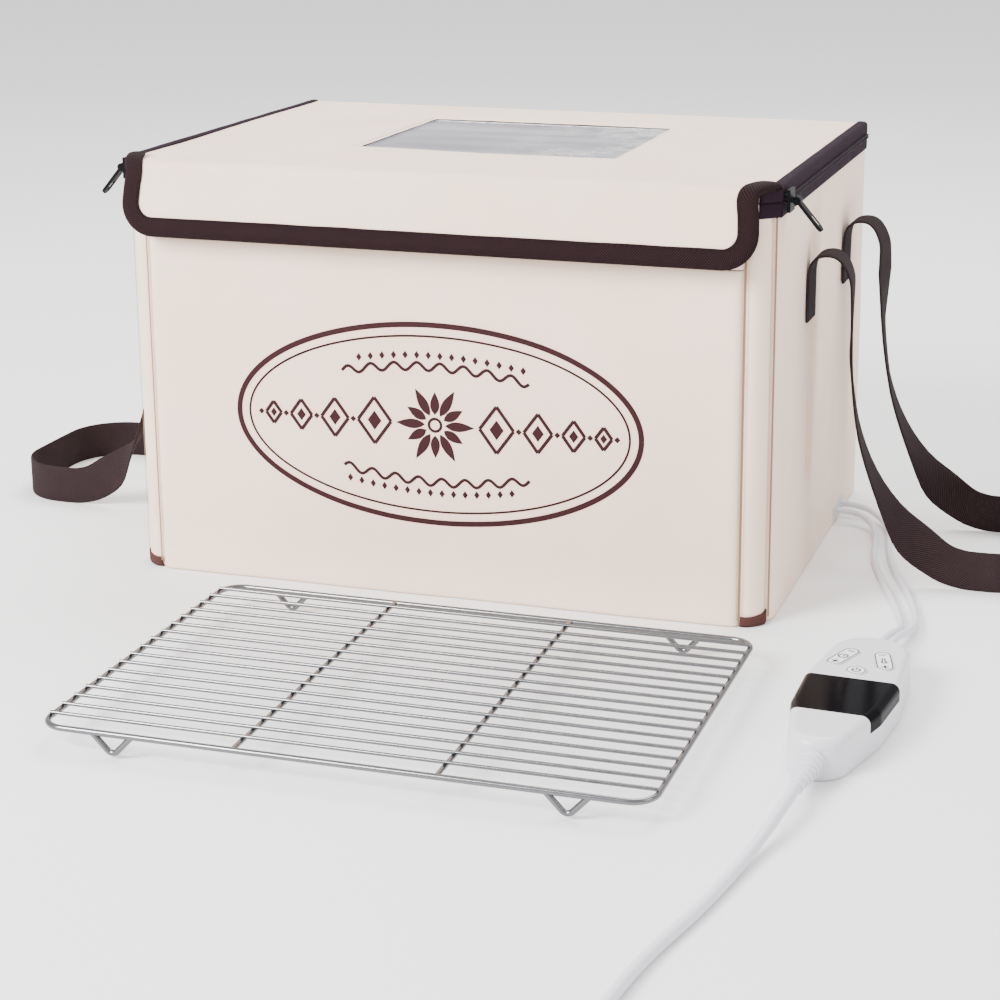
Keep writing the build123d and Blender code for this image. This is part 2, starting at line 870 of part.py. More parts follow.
def make_boot():
    """The flat boot that both leads enter, with grooves across it."""
    wide, high = boot_wide, boot_high
    start = Plane(origin=(0, boot_end - boot_long, axis_height), x_dir=(1, 0, 0), z_dir=(0, 1, 0))
    end = Plane(origin=(0, boot_end, axis_height), x_dir=(1, 0, 0), z_dir=(0, 1, 0))
    sections = [
        start * RectangleRounded(wide[0], high[0], high[0] * boot_round),
        end * RectangleRounded(wide[1], high[1], high[1] * boot_round),
    ]
    boot = loft(sections, ruled=True)
    for groove in range(boot_grooves):
        along = boot_end - boot_groove_step * (groove + 0.5)
        cut = Plane(origin=(0, along, axis_height), x_dir=(1, 0, 0), z_dir=(0, 1, 0))
        share = (along - boot_end + boot_long) / boot_long
        inner = (
            wide[0] + (wide[1] - wide[0]) * share - 2 * groove_deep,
            high[0] + (high[1] - high[0]) * share - 2 * groove_deep,
        )
        core = RectangleRounded(*inner, inner[1] * boot_round)
        outline = Rectangle(2 * wide[0], 2 * high[0]) - core
        boot -= extrude(cut * outline, boot_groove_step / 4, both=True)
    return boot


def make_unit():
    high_in = unit_high - unit_wall
    board_top = board_lift + board_thick
    lower = extrude(unit_plan(0), unit_split)
    lower = fillet(lower.faces().sort_by(Axis.Z)[0].edges(), unit_foot_round)
    lower -= extrude(Pos(0, 0, unit_wall) * unit_plan(unit_wall), unit_high)
    upper = unit_top(0) - unit_top(unit_wall)
    lens = (unit_top(0) - unit_top(lens_thick)) & block(
        (-half_width, half_width), (lens_from, lens_to), (lens_low, unit_high)
    )
    upper -= lens
    middle = (lens_from + lens_to) / 2
    x, y = lens_window[0] / 2, lens_window[1] / 2
    upper -= block((-x, x), (middle - y, middle + y), (high_in - 1, unit_high - lens_thick))
    boss = screw_head + screw_play + boss_wall
    for along in screw_along:
        at = (0, along)
        lower += upright(boss, at, (unit_foot_round / 2, unit_split))
        lower -= upright(screw_head + screw_play, at, (0, screw_seat))
        lower -= upright(screw_radius + screw_play, at, (0, unit_split))
        upper += upright(boss, at, (unit_split, high_in))
    screws = make_screws()
    board = extrude(Pos(0, 0, board_lift) * unit_plan(board_inset), board_thick)
    board &= block((-half_width, half_width), (-board_half, board_half), (0, unit_high))
    x, y = x - module_play, y - module_play
    display_top = unit_high - lens_thick - seam_gap
    board += block((-x, x), (middle - y, middle + y), (board_top, display_top))
    key_low = high_in - flange_gap - flange_thick
    board += upright(
        switch_radius, (0, power_along), (board_top, key_low - key_travel - switch_gap)
    )
    power = upright(power_radius, (0, power_along), (key_low, unit_high + key_proud))
    flange = (key_low, key_low + flange_thick)
    power += upright(power_radius + flange_wide, (0, power_along), flange)
    upper -= upright(power_radius + key_play, (0, power_along), (high_in - 1, unit_high + 1))
    for across, along in posts:
        for side in (-1, 1):
            lower += upright(post_radius, (side * across, along), (unit_wall, board_lift))
    rocker_low = unit_high + key_proud - rocker_thick
    rockers = []
    dip = (switch_at + switch_radius) * sin(radians(rocker_tilt)) + switch_gap
    for side in (-1, 1):
        place = rocker_place(side)
        rockers.append(place * make_rocker())
        upper -= place * pill(rocker_end_play, key_play, (high_in - 1, unit_high + 1))
        upper += [place * lug for lug in make_lugs()]
        for end in (-1, 1):
            switch = (board_top, rocker_low - dip)
            board += place * upright(switch_radius, (0, end * switch_at), switch)
    boot = make_boot()
    relief = ribbed(relief_long, relief_radius, relief_rings)
    relief = Pos(0, relief_end + relief_long, axis_height) * Rot(90, 0, 0) * relief
    pieces = {
        "controller_lower": lower - boot - relief,
        "controller_upper": upper - boot - relief - screws,
        "display_window": lens,
        "circuit_board": board,
        "cord_boot": boot,
        "ribbed_relief": relief,
        "controller_screws": screws,
        "power_key": power,
        "timer_rocker": rockers[0],
        "heat_rocker": rockers[1],
    }
    place = Pos(*unit_at, 0) * Rot(0, 0, unit_turn)
    return {name: place * piece for name, piece in pieces.items()}


# Wire rack


def make_rack():
    """A border with four V feet, and the wires and stays welded across it."""
    level = rack_height - border_radius
    plan = RectangleRounded(rack_width, rack_depth, rack_corner)
    outline = (Pos(*rack_at, level) * plan).wire()
    border = rod(outline, border_radius)
    for x_side in (-1, 1):
        for y_side in (-1, 1):
            x = rack_at[0] + x_side * (rack_width / 2 - foot_inset)
            y = rack_at[1] + y_side * rack_depth / 2
            path = FilletPolyline(
                (x - foot_half, y, level),
                (x, y, border_radius),
                (x + foot_half, y, level),
                radius=foot_bend,
            )
            border += rod(path, border_radius)
    upper = level + border_radius + wire_radius - weld
    lower = upper - wire_radius - stay_radius + weld
    first = rack_at[1] - rack_depth / 2 + rack_depth / (rack_wires + 1)
    wires = []
    for number in range(rack_wires):
        y = first + number * rack_depth / (rack_wires + 1)
        wires.append(Pos(rack_at[0], y, upper) * Rot(0, 90, 0) * Cylinder(wire_radius, rack_width))
    for side in (-1, 1):
        x = rack_at[0] + side * rack_width / 6
        wires.append(Pos(x, rack_at[1], lower) * Rot(90, 0, 0) * Cylinder(stay_radius, rack_depth))
    grid = wires[-1] + wires[:-1]
    return {"rack_border": border, "rack_cross_wires": grid - border}


def main():
    os.makedirs("parts", exist_ok=True)
    steps = (
        make_tub,
        make_front,
        make_back,
        make_hinge_strip,
        make_walls,
        make_lid,
        make_flap,
        make_sides,
        make_mat,
        make_unit,
        make_cords,
        make_coil,
        make_plug,
        make_rack,
    )
    for step in steps:
        for name, shape in step().items():
            export_step(shape, f"parts/{name}.step")


main()
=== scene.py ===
import math

import bpy
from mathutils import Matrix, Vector, noise


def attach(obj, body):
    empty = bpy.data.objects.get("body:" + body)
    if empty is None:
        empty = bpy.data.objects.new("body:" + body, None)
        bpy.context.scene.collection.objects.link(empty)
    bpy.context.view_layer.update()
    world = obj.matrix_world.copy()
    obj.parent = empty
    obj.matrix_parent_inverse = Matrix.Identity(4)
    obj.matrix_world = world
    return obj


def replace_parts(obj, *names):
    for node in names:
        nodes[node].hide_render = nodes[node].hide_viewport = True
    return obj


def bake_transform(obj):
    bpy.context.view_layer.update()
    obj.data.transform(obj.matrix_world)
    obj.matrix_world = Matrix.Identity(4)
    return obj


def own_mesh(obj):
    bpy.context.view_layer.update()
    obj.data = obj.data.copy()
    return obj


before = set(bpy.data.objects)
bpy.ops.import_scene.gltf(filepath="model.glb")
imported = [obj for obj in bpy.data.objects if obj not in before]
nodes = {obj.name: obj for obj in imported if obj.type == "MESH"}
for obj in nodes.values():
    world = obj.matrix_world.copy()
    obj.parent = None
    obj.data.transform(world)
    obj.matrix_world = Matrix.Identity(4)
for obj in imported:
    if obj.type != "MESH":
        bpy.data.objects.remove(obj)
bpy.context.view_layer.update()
wallSides = ((1, "Right"), (-1, "Left"))
print("frame loaded,", len(nodes), "nodes")


# Meshes: sizes below are in millimetres and become metres here.
def buildMesh(name, points, faces, finishes, uvs=None, faceFinish=None, sharp=40):
    mesh = bpy.data.meshes.new(name)
    mesh.from_pydata([Vector(p) * 0.001 for p in points], [], faces)
    for finish in finishes:
        mesh.materials.append(finish)
    if uvs:
        layer = mesh.uv_layers.new(name="cloth")
        for loop in mesh.loops:
            u, v = uvs[loop.vertex_index]
            layer.data[loop.index].uv = (u * 0.001, v * 0.001)
    if faceFinish:
        mesh.polygons.foreach_set("material_index", faceFinish)
    mesh.shade_smooth()
    if sharp:
        mesh.set_sharp_from_angle(angle=math.radians(sharp))
    mesh.update()
    piece = bpy.data.objects.new(name, mesh)
    bpy.context.scene.collection.objects.link(piece)
    return piece


def thicken(piece, thick, offset=-1):  # the thickened shape becomes the mesh itself
    solid = piece.modifiers.new("thickness", "SOLIDIFY")
    solid.thickness = thick * 0.001
    solid.offset = offset
    bpy.context.view_layer.update()
    graph = bpy.context.evaluated_depsgraph_get()
    made = bpy.data.meshes.new_from_object(piece.evaluated_get(graph))
    piece.modifiers.clear()
    piece.data = made


def graded(low, high, step, edge=0.0, fine=5):  # even stops, closer together near both edges
    stops = [edge * (i / fine) ** 1.6 for i in range(fine)] if edge else []
    count = max(1, round((high - low - 2 * edge) / step))
    run = [low + edge + (high - low - 2 * edge) * i / count for i in range(count + 1)]
    return [low + s for s in stops] + run + [high - s for s in reversed(stops)]


def gridFaces(wide, high, skip=None, closed=False):
    faces = []
    for j in range(high - 1):
        for i in range(wide if closed else wide - 1):
            if skip and skip(i, j):
                continue
            a, b = j * wide + i, j * wide + (i + 1) % wide
            faces.append((a, b, b + wide, a + wide))
    return faces


def rimOf(wide, high):  # a grid's outer points, once round
    count = wide * high
    rim = list(range(wide)) + [wide - 1 + j * wide for j in range(1, high)]
    rim += [count - 1 - j for j in range(1, wide)]
    return rim + [count - wide - j * wide for j in range(1, high - 1)]


def slabFaces(wide, high):  # two grids back to back, closed round their rim
    front, rim, count = gridFaces(wide, high), rimOf(wide, high), wide * high
    back = [tuple(i + count for i in face[::-1]) for face in front]
    return front + back + [(a, a + count, b + count, b) for a, b in zip([rim[-1]] + rim, rim)]


def tubeFaces(ring, rows):  # a section carried along a line, capped at both ends
    last = ring * (rows - 1)
    caps = [tuple(range(ring))[::-1], tuple(range(last, last + ring))]
    return gridFaces(ring, rows, closed=True) + caps


def mirrored(faces, side):  # faces on the left side run the other way round
    return faces if side > 0 else [face[::-1] for face in faces]


def squaresIn(us, vs, hole):  # which of a grid's squares lie in a hole
    return lambda i, j: hole((us[i] + us[i + 1]) / 2, (vs[j] + vs[j + 1]) / 2)


def clothGrid(name, us, vs, place, finish, skip=None, thick=0.0, flip=False):
    points = [place(u, v) for v in vs for u in us]
    uvs = [(u, v) for v in vs for u in us]
    faces = gridFaces(len(us), len(vs), skip and squaresIn(us, vs, skip))
    piece = buildMesh(name, points, mirrored(faces, -1 if flip else 1), [finish], uvs)
    if thick:
        thicken(piece, thick)
    return piece


def sidePatch(name, side, rows, finish):  # rows of (stop, point), turned over for the left side
    points = [Vector((side * p[0], p[1], p[2])) for row in rows for stop, p in row]
    uvs = [(stop, p[2]) for row in rows for stop, p in row]
    faces = mirrored(gridFaces(len(rows[0]), len(rows)), side)
    return buildMesh(name, points, faces, [finish], uvs)


def walkRound(corners, count):  # even steps from corner to corner, back to the first
    for a, b in zip(corners, corners[1:] + corners[:1]):
        for k in range(count):
            yield a[0] + (b[0] - a[0]) * k / count, a[1] + (b[1] - a[1]) * k / count


def roll(depth, radius):  # how far a rounded edge falls back, at a depth in from it
    if depth >= radius:
        return 0.0
    return radius - math.sqrt(radius**2 - (radius - max(depth, 0.0)) ** 2)


def ease(value, low, high):  # 0 below low, 1 above high, smooth between
    t = min(1.0, max(0.0, (value - low) / (high - low)))
    return t * t * (3 - 2 * t)


def pucker(x, y, z, size, height):
    return noise.noise(Vector((x, y, z)) / size) * height


def bell(distance, wide):
    return math.exp(-((distance / wide) ** 2))


def easeLine(points, steps):  # a smooth line drawn towards the points
    ends = [Vector(p) for p in points]
    joins = [ends[0]] + [(a + b) / 2 for a, b in zip(ends[1:-2], ends[2:-1])] + [ends[-1]]
    line = []
    for i in range(len(joins) - 1):
        a, b, c = joins[i], ends[i + 1], joins[i + 1]
        for k in range(steps):
            t = k / steps
            line.append(a * (1 - t) ** 2 + b * 2 * t * (1 - t) + c * t**2)
    return line + [ends[-1]]


def lineLengths(line):
    lengths = [0.0]
    for a, b in zip(line, line[1:]):
        lengths.append(lengths[-1] + (b - a).length)
    return lengths


def bandMesh(name, line, acrosses, wide, thick, finish):  # flat webbing with soft selvedges
    section = [(-0.5, -0.25), (-0.5, 0.25), (-0.46, 0.5), (-0.3, 0.5), (0, 0.5), (0.3, 0.5)]
    section += [(0.46, 0.5), (0.5, 0.25), (0.5, -0.25), (0.46, -0.5), (0.3, -0.5), (0, -0.5)]
    section += [(-0.3, -0.5), (-0.46, -0.5)]
    points, uvs = [], []
    lengths = lineLengths(line)
    for i, centre in enumerate(line):
        ahead = line[min(i + 1, len(line) - 1)] - line[max(i - 1, 0)]
        across = Vector(acrosses[i]).normalized()
        out = across.cross(ahead).normalized()
        across = ahead.cross(out).normalized()
        for s, t in section:
            points.append(centre + across * s * wide + out * t * thick)
            uvs.append((lengths[i], s * wide + t * thick))
    return buildMesh(name, points, tubeFaces(len(section), len(line)), [finish], uvs)


def joinPieces(name, pieces):
    first = pieces[0]
    bpy.context.view_layer.update()
    with bpy.context.temp_override(active_object=first, selected_editable_objects=pieces):
        bpy.ops.object.join()
    first.name = name
    return first


# Finishes
def newFinish(name, colour, roughness, **settings):
    finish = bpy.data.materials.new(name)
    finish.use_nodes = True
    tree = finish.node_tree
    shader = tree.nodes["Principled BSDF"]
    shader.inputs["Base Color"].default_value = (*colour, 1)
    shader.inputs["Roughness"].default_value = roughness
    for setting, value in settings.items():
        shader.inputs[setting].default_value = value
    return finish, tree, shader


def addNode(tree, kind, **settings):
    node = tree.nodes.new(kind)
    for setting, value in settings.items():
        if setting in node.inputs:
            node.inputs[setting].default_value = value
        else:
            setattr(node, setting, value)
    return node


def mixColours(tree, factor, low, high, stops=(0, 1)):
    ramp = addNode(tree, "ShaderNodeValToRGB")
    for element, colour, stop in zip(ramp.color_ramp.elements, (low, high), stops):
        element.color = (*colour, 1)
        element.position = stop
    tree.links.new(factor, ramp.inputs["Fac"])
    return ramp.outputs["Color"]


def tint(tree, shader, factor, low, high, stops=(0, 1)):  # the base colour runs from low to high
    tree.links.new(mixColours(tree, factor, low, high, stops), shader.inputs["Base Color"])


def roughen(tree, shader, factor, low, high):
    level = addNode(tree, "ShaderNodeMapRange", **{"To Min": low, "To Max": high})
    tree.links.new(factor, level.inputs["Value"])
    tree.links.new(level.outputs["Result"], shader.inputs["Roughness"])


def addBumps(tree, shader, bumps):  # (height socket, metres, strength), coarse to fine
    normal = None
    for height, distance, strength in bumps:
        bump = addNode(tree, "ShaderNodeBump", Strength=strength, Distance=distance)
        tree.links.new(height, bump.inputs["Height"])
        if normal:
            tree.links.new(normal, bump.inputs["Normal"])
        normal = bump.outputs["Normal"]
    tree.links.new(normal, shader.inputs["Normal"])


def objectPlace(tree):
    return addNode(tree, "ShaderNodeTexCoord").outputs["Object"]


def noiseOf(tree, coords, scale, detail=2.0, roughness=0.5):
    node = addNode(tree, "ShaderNodeTexNoise", Scale=scale, Detail=detail, Roughness=roughness)
    tree.links.new(coords, node.inputs["Vector"])
    return node.outputs["Fac"]


def threadsOf(tree, coords, side, spacing):  # parallel threads, with their spacing in metres
    waveLength = 0.314  # metres, at scale 1
    wave = addNode(tree, "ShaderNodeTexWave", bands_direction=side, Scale=waveLength / spacing)
    tree.links.new(coords, wave.inputs["Vector"])
    return wave.outputs["Fac"]


def multiply(tree, first, second):
    both = addNode(tree, "ShaderNodeMath", operation="MULTIPLY")
    tree.links.new(first, both.inputs[0])
    tree.links.new(second, both.inputs[1])
    return both.outputs[0]


def creamCloth():  # coated polyester: smooth, faintly woven, slightly mottled
    look = {"pale": (0.88, 0.675, 0.535), "deep": (0.84, 0.625, 0.48), "thread": 0.0007}
    finish, tree, shader = newFinish("creamCloth", look["pale"], 0.62, **{"Sheen Weight": 0.12})
    coords = addNode(tree, "ShaderNodeTexCoord")
    place, flat = coords.outputs["Object"], coords.outputs["UV"]
    tint(tree, shader, noiseOf(tree, place, 14, 4), look["deep"], look["pale"], (0.25, 0.6))
    roughen(tree, shader, noiseOf(tree, place, 60, 3), 0.5, 0.72)
    warp, weft = (threadsOf(tree, flat, side, look["thread"]) for side in ("X", "Y"))
    soft, fine = noiseOf(tree, place, 22, 2), noiseOf(tree, place, 110, 3)
    weave = multiply(tree, warp, weft)
    addBumps(tree, shader, [(soft, 0.004, 0.25), (fine, 0.001, 0.2), (weave, 0.00012, 0.35)])
    return finish


faintGloss = {"Specular IOR Level": 0.1}


def twillTape(name, dark, light, spacing, slope):  # diagonal ribs on tape and webbing
    finish, tree, shader = newFinish(name, light, 0.85, **faintGloss)
    coords = addNode(tree, "ShaderNodeTexCoord")
    turn = addNode(tree, "ShaderNodeMapping", Rotation=(0, 0, slope))
    tree.links.new(coords.outputs["UV"], turn.inputs["Vector"])
    rib = threadsOf(tree, turn.outputs["Vector"], "X", spacing)
    weft = threadsOf(tree, turn.outputs["Vector"], "Y", spacing * 0.55)
    wear = noiseOf(tree, coords.outputs["Object"], 70, 4)
    worn = addNode(tree, "ShaderNodeMix", data_type="RGBA", blend_type="MULTIPLY", Factor=0.5)
    tree.links.new(mixColours(tree, rib, dark, light), worn.inputs[6])
    tree.links.new(mixColours(tree, wear, (0.6, 0.6, 0.6), (1.25, 1.2, 1.2)), worn.inputs[7])
    tree.links.new(worn.outputs[2], shader.inputs["Base Color"])
    addBumps(tree, shader, [(wear, 0.0006, 0.3), (rib, 0.0003, 0.6), (weft, 0.0001, 0.4)])
    return finish


def crinkledFoil():
    finish, tree, shader = newFinish("crinkledFoil", (0.78, 0.79, 0.8), 0.3, Metallic=0.9)
    place = objectPlace(tree)
    cells = addNode(tree, "ShaderNodeTexVoronoi", Scale=75)
    tree.links.new(place, cells.inputs["Vector"])
    wrinkle = noiseOf(tree, place, 45, 6, 0.6)
    tint(tree, shader, wrinkle, (0.62, 0.63, 0.65), (0.85, 0.86, 0.87))
    addBumps(tree, shader, [(wrinkle, 0.003, 0.5), (cells.outputs["Distance"], 0.0012, 0.4)])
    return finish


def hookAndLoop():
    finish, tree, shader = newFinish("hookAndLoop", (0.03, 0.016, 0.014), 0.95, **faintGloss)
    fuzz = noiseOf(tree, objectPlace(tree), 900, 4, 0.7)
    tint(tree, shader, fuzz, (0.012, 0.006, 0.006), (0.055, 0.03, 0.027))
    addBumps(tree, shader, [(fuzz, 0.0008, 0.9)])
    return finish


def clearFilm():  # soft clear film over silvery foil: faint streaks of painted reflection, and a painted glint towards one side
    look = {
        "dull": (0.22, 0.205, 0.24), "bright": (0.40, 0.38, 0.43), "paintedGlint": (0.97, 0.97, 0.98),
        "glintFrom": -0.01, "glintFull": 0.065,  # where the painted glint starts and where it is full: places along the lid, in metres
    }
    clear = {"Alpha": 0.88, "Metallic": 0.2, "Specular IOR Level": 0.2}
    finish, tree, shader = newFinish("clearFilm", look["dull"], 0.3, **clear)
    place = objectPlace(tree)
    stretch = addNode(tree, "ShaderNodeMapping", Scale=(0.22, 1, 1))
    tree.links.new(place, stretch.inputs["Vector"])
    # painted reflection: the base colour runs from dull to bright along stretched streaks, standing for the
    # foil's reflections seen through the film
    reflectionStreak = noiseOf(tree, stretch.outputs["Vector"], 42, 3, 0.5)
    paintedReflection = mixColours(tree, reflectionStreak, look["dull"], look["bright"], (0.35, 0.75))
    # painted glint: white patches and specks mixed into the base colour, fading in towards one side along X
    parts = addNode(tree, "ShaderNodeSeparateXYZ")
    tree.links.new(place, parts.inputs["Vector"])
    reach = {"From Min": look["glintFrom"], "From Max": look["glintFull"]}
    side = addNode(tree, "ShaderNodeMapRange", **reach)
    tree.links.new(parts.outputs["X"], side.inputs["Value"])
    patch = mixColours(tree, noiseOf(tree, place, 34, 3, 0.6), (0, 0, 0), (1, 1, 1), (0.44, 0.56))
    speck = mixColours(tree, noiseOf(tree, place, 520, 3, 0.7), (0.25,) * 3, (1, 1, 1), (0.42, 0.56))
    paintedGlint = multiply(tree, multiply(tree, patch, speck), side.outputs["Result"])
    lit = addNode(tree, "ShaderNodeMix", data_type="RGBA")
    tree.links.new(paintedGlint, lit.inputs["Factor"])
    tree.links.new(paintedReflection, lit.inputs[6])
    lit.inputs[7].default_value = (*look["paintedGlint"], 1)
    tree.links.new(lit.outputs[2], shader.inputs["Base Color"])
    addBumps(tree, shader, [(reflectionStreak, 0.006, 0.45), (paintedGlint, 0.0022, 1.0)])
    return finish


def smoothPlastic(name, colour, roughness, grain=0.05, **settings):
    finish, tree, shader = newFinish(name, colour, roughness, **settings)
    place = objectPlace(tree)
    tint(tree, shader, noiseOf(tree, place, 30, 3), tuple(c * 0.93 for c in colour), colour)
    addBumps(tree, shader, [(noiseOf(tree, place, 1500, 2), 0.0001, grain)])
    return finish


def brushedMetal(name, colour, roughness, scuff):
    finish, tree, shader = newFinish(name, colour, roughness, Metallic=1.0)
    marks = noiseOf(tree, objectPlace(tree), 260, 5, 0.6)
    tint(tree, shader, marks, tuple(c * 0.75 for c in colour), colour)
    roughen(tree, shader, marks, max(roughness - scuff, 0.03), roughness + scuff)
    addBumps(tree, shader, [(marks, 0.0002, 0.15)])
    return finish


cream = creamCloth()
binding = twillTape("brownBinding", (0.005, 0.002, 0.0025), (0.022, 0.0095, 0.011), 0.0014, 0.7)
webbing = twillTape("brownWebbing", (0.011, 0.006, 0.007), (0.033, 0.020, 0.022), 0.0013, 0.7)
zipTape = twillTape("zipTape", (0.012, 0.005, 0.010), (0.024, 0.011, 0.020), 0.0009, 0.5)
cornerTape = twillTape("cornerTape", (0.045, 0.017, 0.014), (0.1, 0.042, 0.036), 0.0013, 0.7)
# painted shade for the grooves beside the padded corners, in a soft brown
grooveShadeTape = smoothPlastic("grooveShadeTape", (0.28, 0.165, 0.105), 0.85, 0.3, **faintGloss)
foil = crinkledFoil()
hookLoop = hookAndLoop()
film = clearFilm()
thread = smoothPlastic("creamThread", (0.82, 0.73, 0.62), 0.7, 0.3)
zipCoil = smoothPlastic("zipCoil", (0.014, 0.006, 0.012), 0.5, **{"Specular IOR Level": 0.2})
ink = smoothPlastic("brownInk", (0.032, 0.007, 0.009), 0.7, 0.2, **{"Specular IOR Level": 0.15})
boardCore = smoothPlastic("boardCore", (0.55, 0.5, 0.42), 0.8, 0.3)
heatFilm = smoothPlastic("heatFilm", (0.06, 0.06, 0.065), 0.5, 0.4)
copperFilm = brushedMetal("copperFilm", (0.6, 0.3, 0.15), 0.4, 0.1)
blackMetal = smoothPlastic("blackEnamel", (0.004, 0.004, 0.005), 0.45, 0.1, **{"Specular IOR Level": 0.06})
brightMetal = brushedMetal("brightMetal", (0.75, 0.75, 0.76), 0.18, 0.08)
chrome = brushedMetal("chromeWire", (0.19, 0.19, 0.20), 0.2, 0.06)
whiteCord = smoothPlastic("whiteCord", (0.70, 0.70, 0.76), 0.42, 0.1)
whiteShell = smoothPlastic("whiteShell", (0.66, 0.66, 0.70), 0.33, 0.06)
whiteKeys = smoothPlastic("whiteKeys", (0.80, 0.80, 0.84), 0.4, 0.06)
greyInk = smoothPlastic("greyInk", (0.02, 0.02, 0.028), 0.7, 0.1)
rubber = smoothPlastic("paleRubber", (0.62, 0.62, 0.64), 0.65, 0.3)
blackGlass = smoothPlastic("blackGlass", (0.003, 0.003, 0.004), 0.1, 0.0, **{"IOR": 1.08})
circuit = smoothPlastic("circuitBoard", (0.02, 0.12, 0.05), 0.5, 0.3)
print("finishes made")

nodeFinish = {
    "base_board": boardCore, "cable_grommet": rubber, "heating_element": copperFilm,
    "mat_gland": whiteShell, "inner_leads": whiteCord, "temperature_probe": brightMetal,
    "controller_lower": whiteShell, "controller_upper": whiteShell, "display_window": blackGlass,
    "circuit_board": circuit, "cord_boot": whiteCord, "ribbed_relief": whiteCord,
    "controller_screws": brightMetal, "plug_body": whiteShell, "plug_blades": brightMetal,
    "window_pane": film, "rack_border": chrome, "rack_cross_wires": chrome,
    "power_key": whiteKeys, "timer_rocker": whiteKeys, "heat_rocker": whiteKeys,
    "zip_slider_left": blackMetal, "zip_slider_right": blackMetal,
    "pull_tab_left": blackMetal, "pull_tab_right": blackMetal,
}
for nodeName, finish in nodeFinish.items():
    mesh = nodes[nodeName].data
    mesh.materials.clear()
    mesh.materials.append(finish)


# Cords
def cordLine(name, points, radius, finish):
    curve = bpy.data.curves.new(name, "CURVE")
    curve.dimensions = "3D"
    curve.bevel_depth = radius * 0.001
    curve.bevel_resolution = 5
    curve.resolution_u = 8
    curve.use_fill_caps = True
    spline = curve.splines.new("NURBS")
    spline.points.add(len(points) - 1)
    for at, point in zip(spline.points, points):
        at.co = (*(Vector(point) * 0.001), 1)
    spline.order_u = 3
    spline.use_endpoint_u = True
    curve.materials.append(finish)
    cordPiece = bpy.data.objects.new(name, curve)
    bpy.context.scene.collection.objects.link(cordPiece)
    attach(cordPiece, "tub")
    return cordPiece


heaterCord = {
    "radius": 2.2,
    "length": 0.294,
    "route": [
        (221.6, 75, 9.5), (237, 75, 9.5), (251, 62, 5), (257, 38, 2.2), (262, -6, 2.2),
        (276, -50, 2.2), (291, -92, 2.2), (301, -126, 2.2), (303, -150, 6.4),
        (298.18, -172.0, 11), (297.24, -189.98, 11),
    ],
}
sensorCord = {
    "radius": 2.2,
    "length": 0.315,
    "route": [
        (221.6, 92, 9.5), (236, 92, 9.5), (252, 82, 5.5), (263, 60, 2.2), (269, 16, 2.2),
        (281, -29, 2.2), (297, -71, 2.2), (308, -111, 2.2), (311, -141, 4.5),
        (304.17, -172.3, 11), (303.23, -190.3, 11),
    ],
}
mainsLead = {
    "radius": 3.2,
    "length": 1.545,
    "route": [
        (288.93, -405.84, 11), (287.36, -435.8, 11), (279, -480, 3.6), (270, -535, 3.2),
        (256, -590, 3.2), (250, -650, 4.3), (250, -692, 4.3),
    ],
    "coilX": 250.0, "coilY": -710, "turns": [42, 38.5, 35, 31.5, 28, 24.5], "climb": 21.0,
    "low": 4.3, "high": 11.3,
    "tail": [(250, -732, 11.3), (250, -758, 11.3)],
}


def coilPoints(coil):  # half turns inwards on the table, then outwards on top of them
    low, high, steps = coil["low"], coil["high"], 8
    turns = [(radius, low, low) for radius in coil["turns"]] + [(coil["climb"], low, high)]
    turns += [(radius, high, high) for radius in reversed(coil["turns"][1:])]
    x, y, side = coil["coilX"], coil["coilY"], 1
    points = []
    for radius, start, end in turns:
        for k in range(steps):
            turn = math.pi * k / steps
            z = start + (end - start) * (k / steps)
            points.append((x - side * radius * (1 - math.cos(turn)), y - side * radius * math.sin(turn), z))
        x -= 2 * side * radius
        side = -side
    points.append((x, y, high))
    return points


heaterLine = cordLine("heaterCord", heaterCord["route"], heaterCord["radius"], whiteCord)
sensorLine = cordLine("sensorCord", sensorCord["route"], sensorCord["radius"], whiteCord)
mainsRoute = mainsLead["route"] + coilPoints(mainsLead) + mainsLead["tail"]
mainsLine = cordLine("mainsLead", mainsRoute, mainsLead["radius"], whiteCord)
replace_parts(heaterLine, "heater_cord")
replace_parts(sensorLine, "sensor_cord")
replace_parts(mainsLine, "mains_cord", "mains_coil")


def makeCoilTie():  # a soft strap round the coil's turns on one side
    tie = {"left": 162.2, "right": 190.6, "low": 0.9, "high": 14.7, "round": 4.4, "wide": 10, "thick": 0.9}
    r, y, line = tie["round"], mainsLead["coilY"], []
    x0, x1, z0, z1 = tie["left"] + r, tie["right"] - r, tie["low"] + r, tie["high"] - r
    for cx, cz, first in ((x1, z0, -90), (x1, z1, 0), (x0, z1, 90), (x0, z0, 180)):
        for k in range(7):
            turn = math.radians(first + 15 * k)
            line.append(Vector((cx + r * math.cos(turn), y, cz + r * math.sin(turn))))
    line.append(line[0].copy())
    piece = bandMesh("coilTie", line, [(0, 1, 0)] * len(line), tie["wide"], tie["thick"], whiteCord)
    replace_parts(piece, "coil_tie")
    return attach(piece, "tub")


coilTie = makeCoilTie()
print("cords laid")


# What the case's panels share: its outside, the tray's rim, the walls' top, the cut front corners
# and the handles' places along the walls
case = {
    "halfX": 220.0, "halfY": 160.0, "rim": 46.0, "top": 271.6,
    "cutFront": (202, -160, 0), "cutSide": (220, -144, 0), "cutOut": (0.664, -0.747, 0),
    "strands": (-45.0, 85.0),
}

# The front: one smooth sheet from the table to the seam behind the flap (the real panel folds at the tray's
# rim)
frontPanel = {
    "half": 201.7, "face": -160.0, "top": 231.0, "edgeRound": 6.5, "footRound": 2.5, "thick": 1.0,
    "tuck": (184, 206),  # the header lies on the part above this when the box is folded
    "tapeEdge": (152, 160),  # and its tape reaches out to here
}


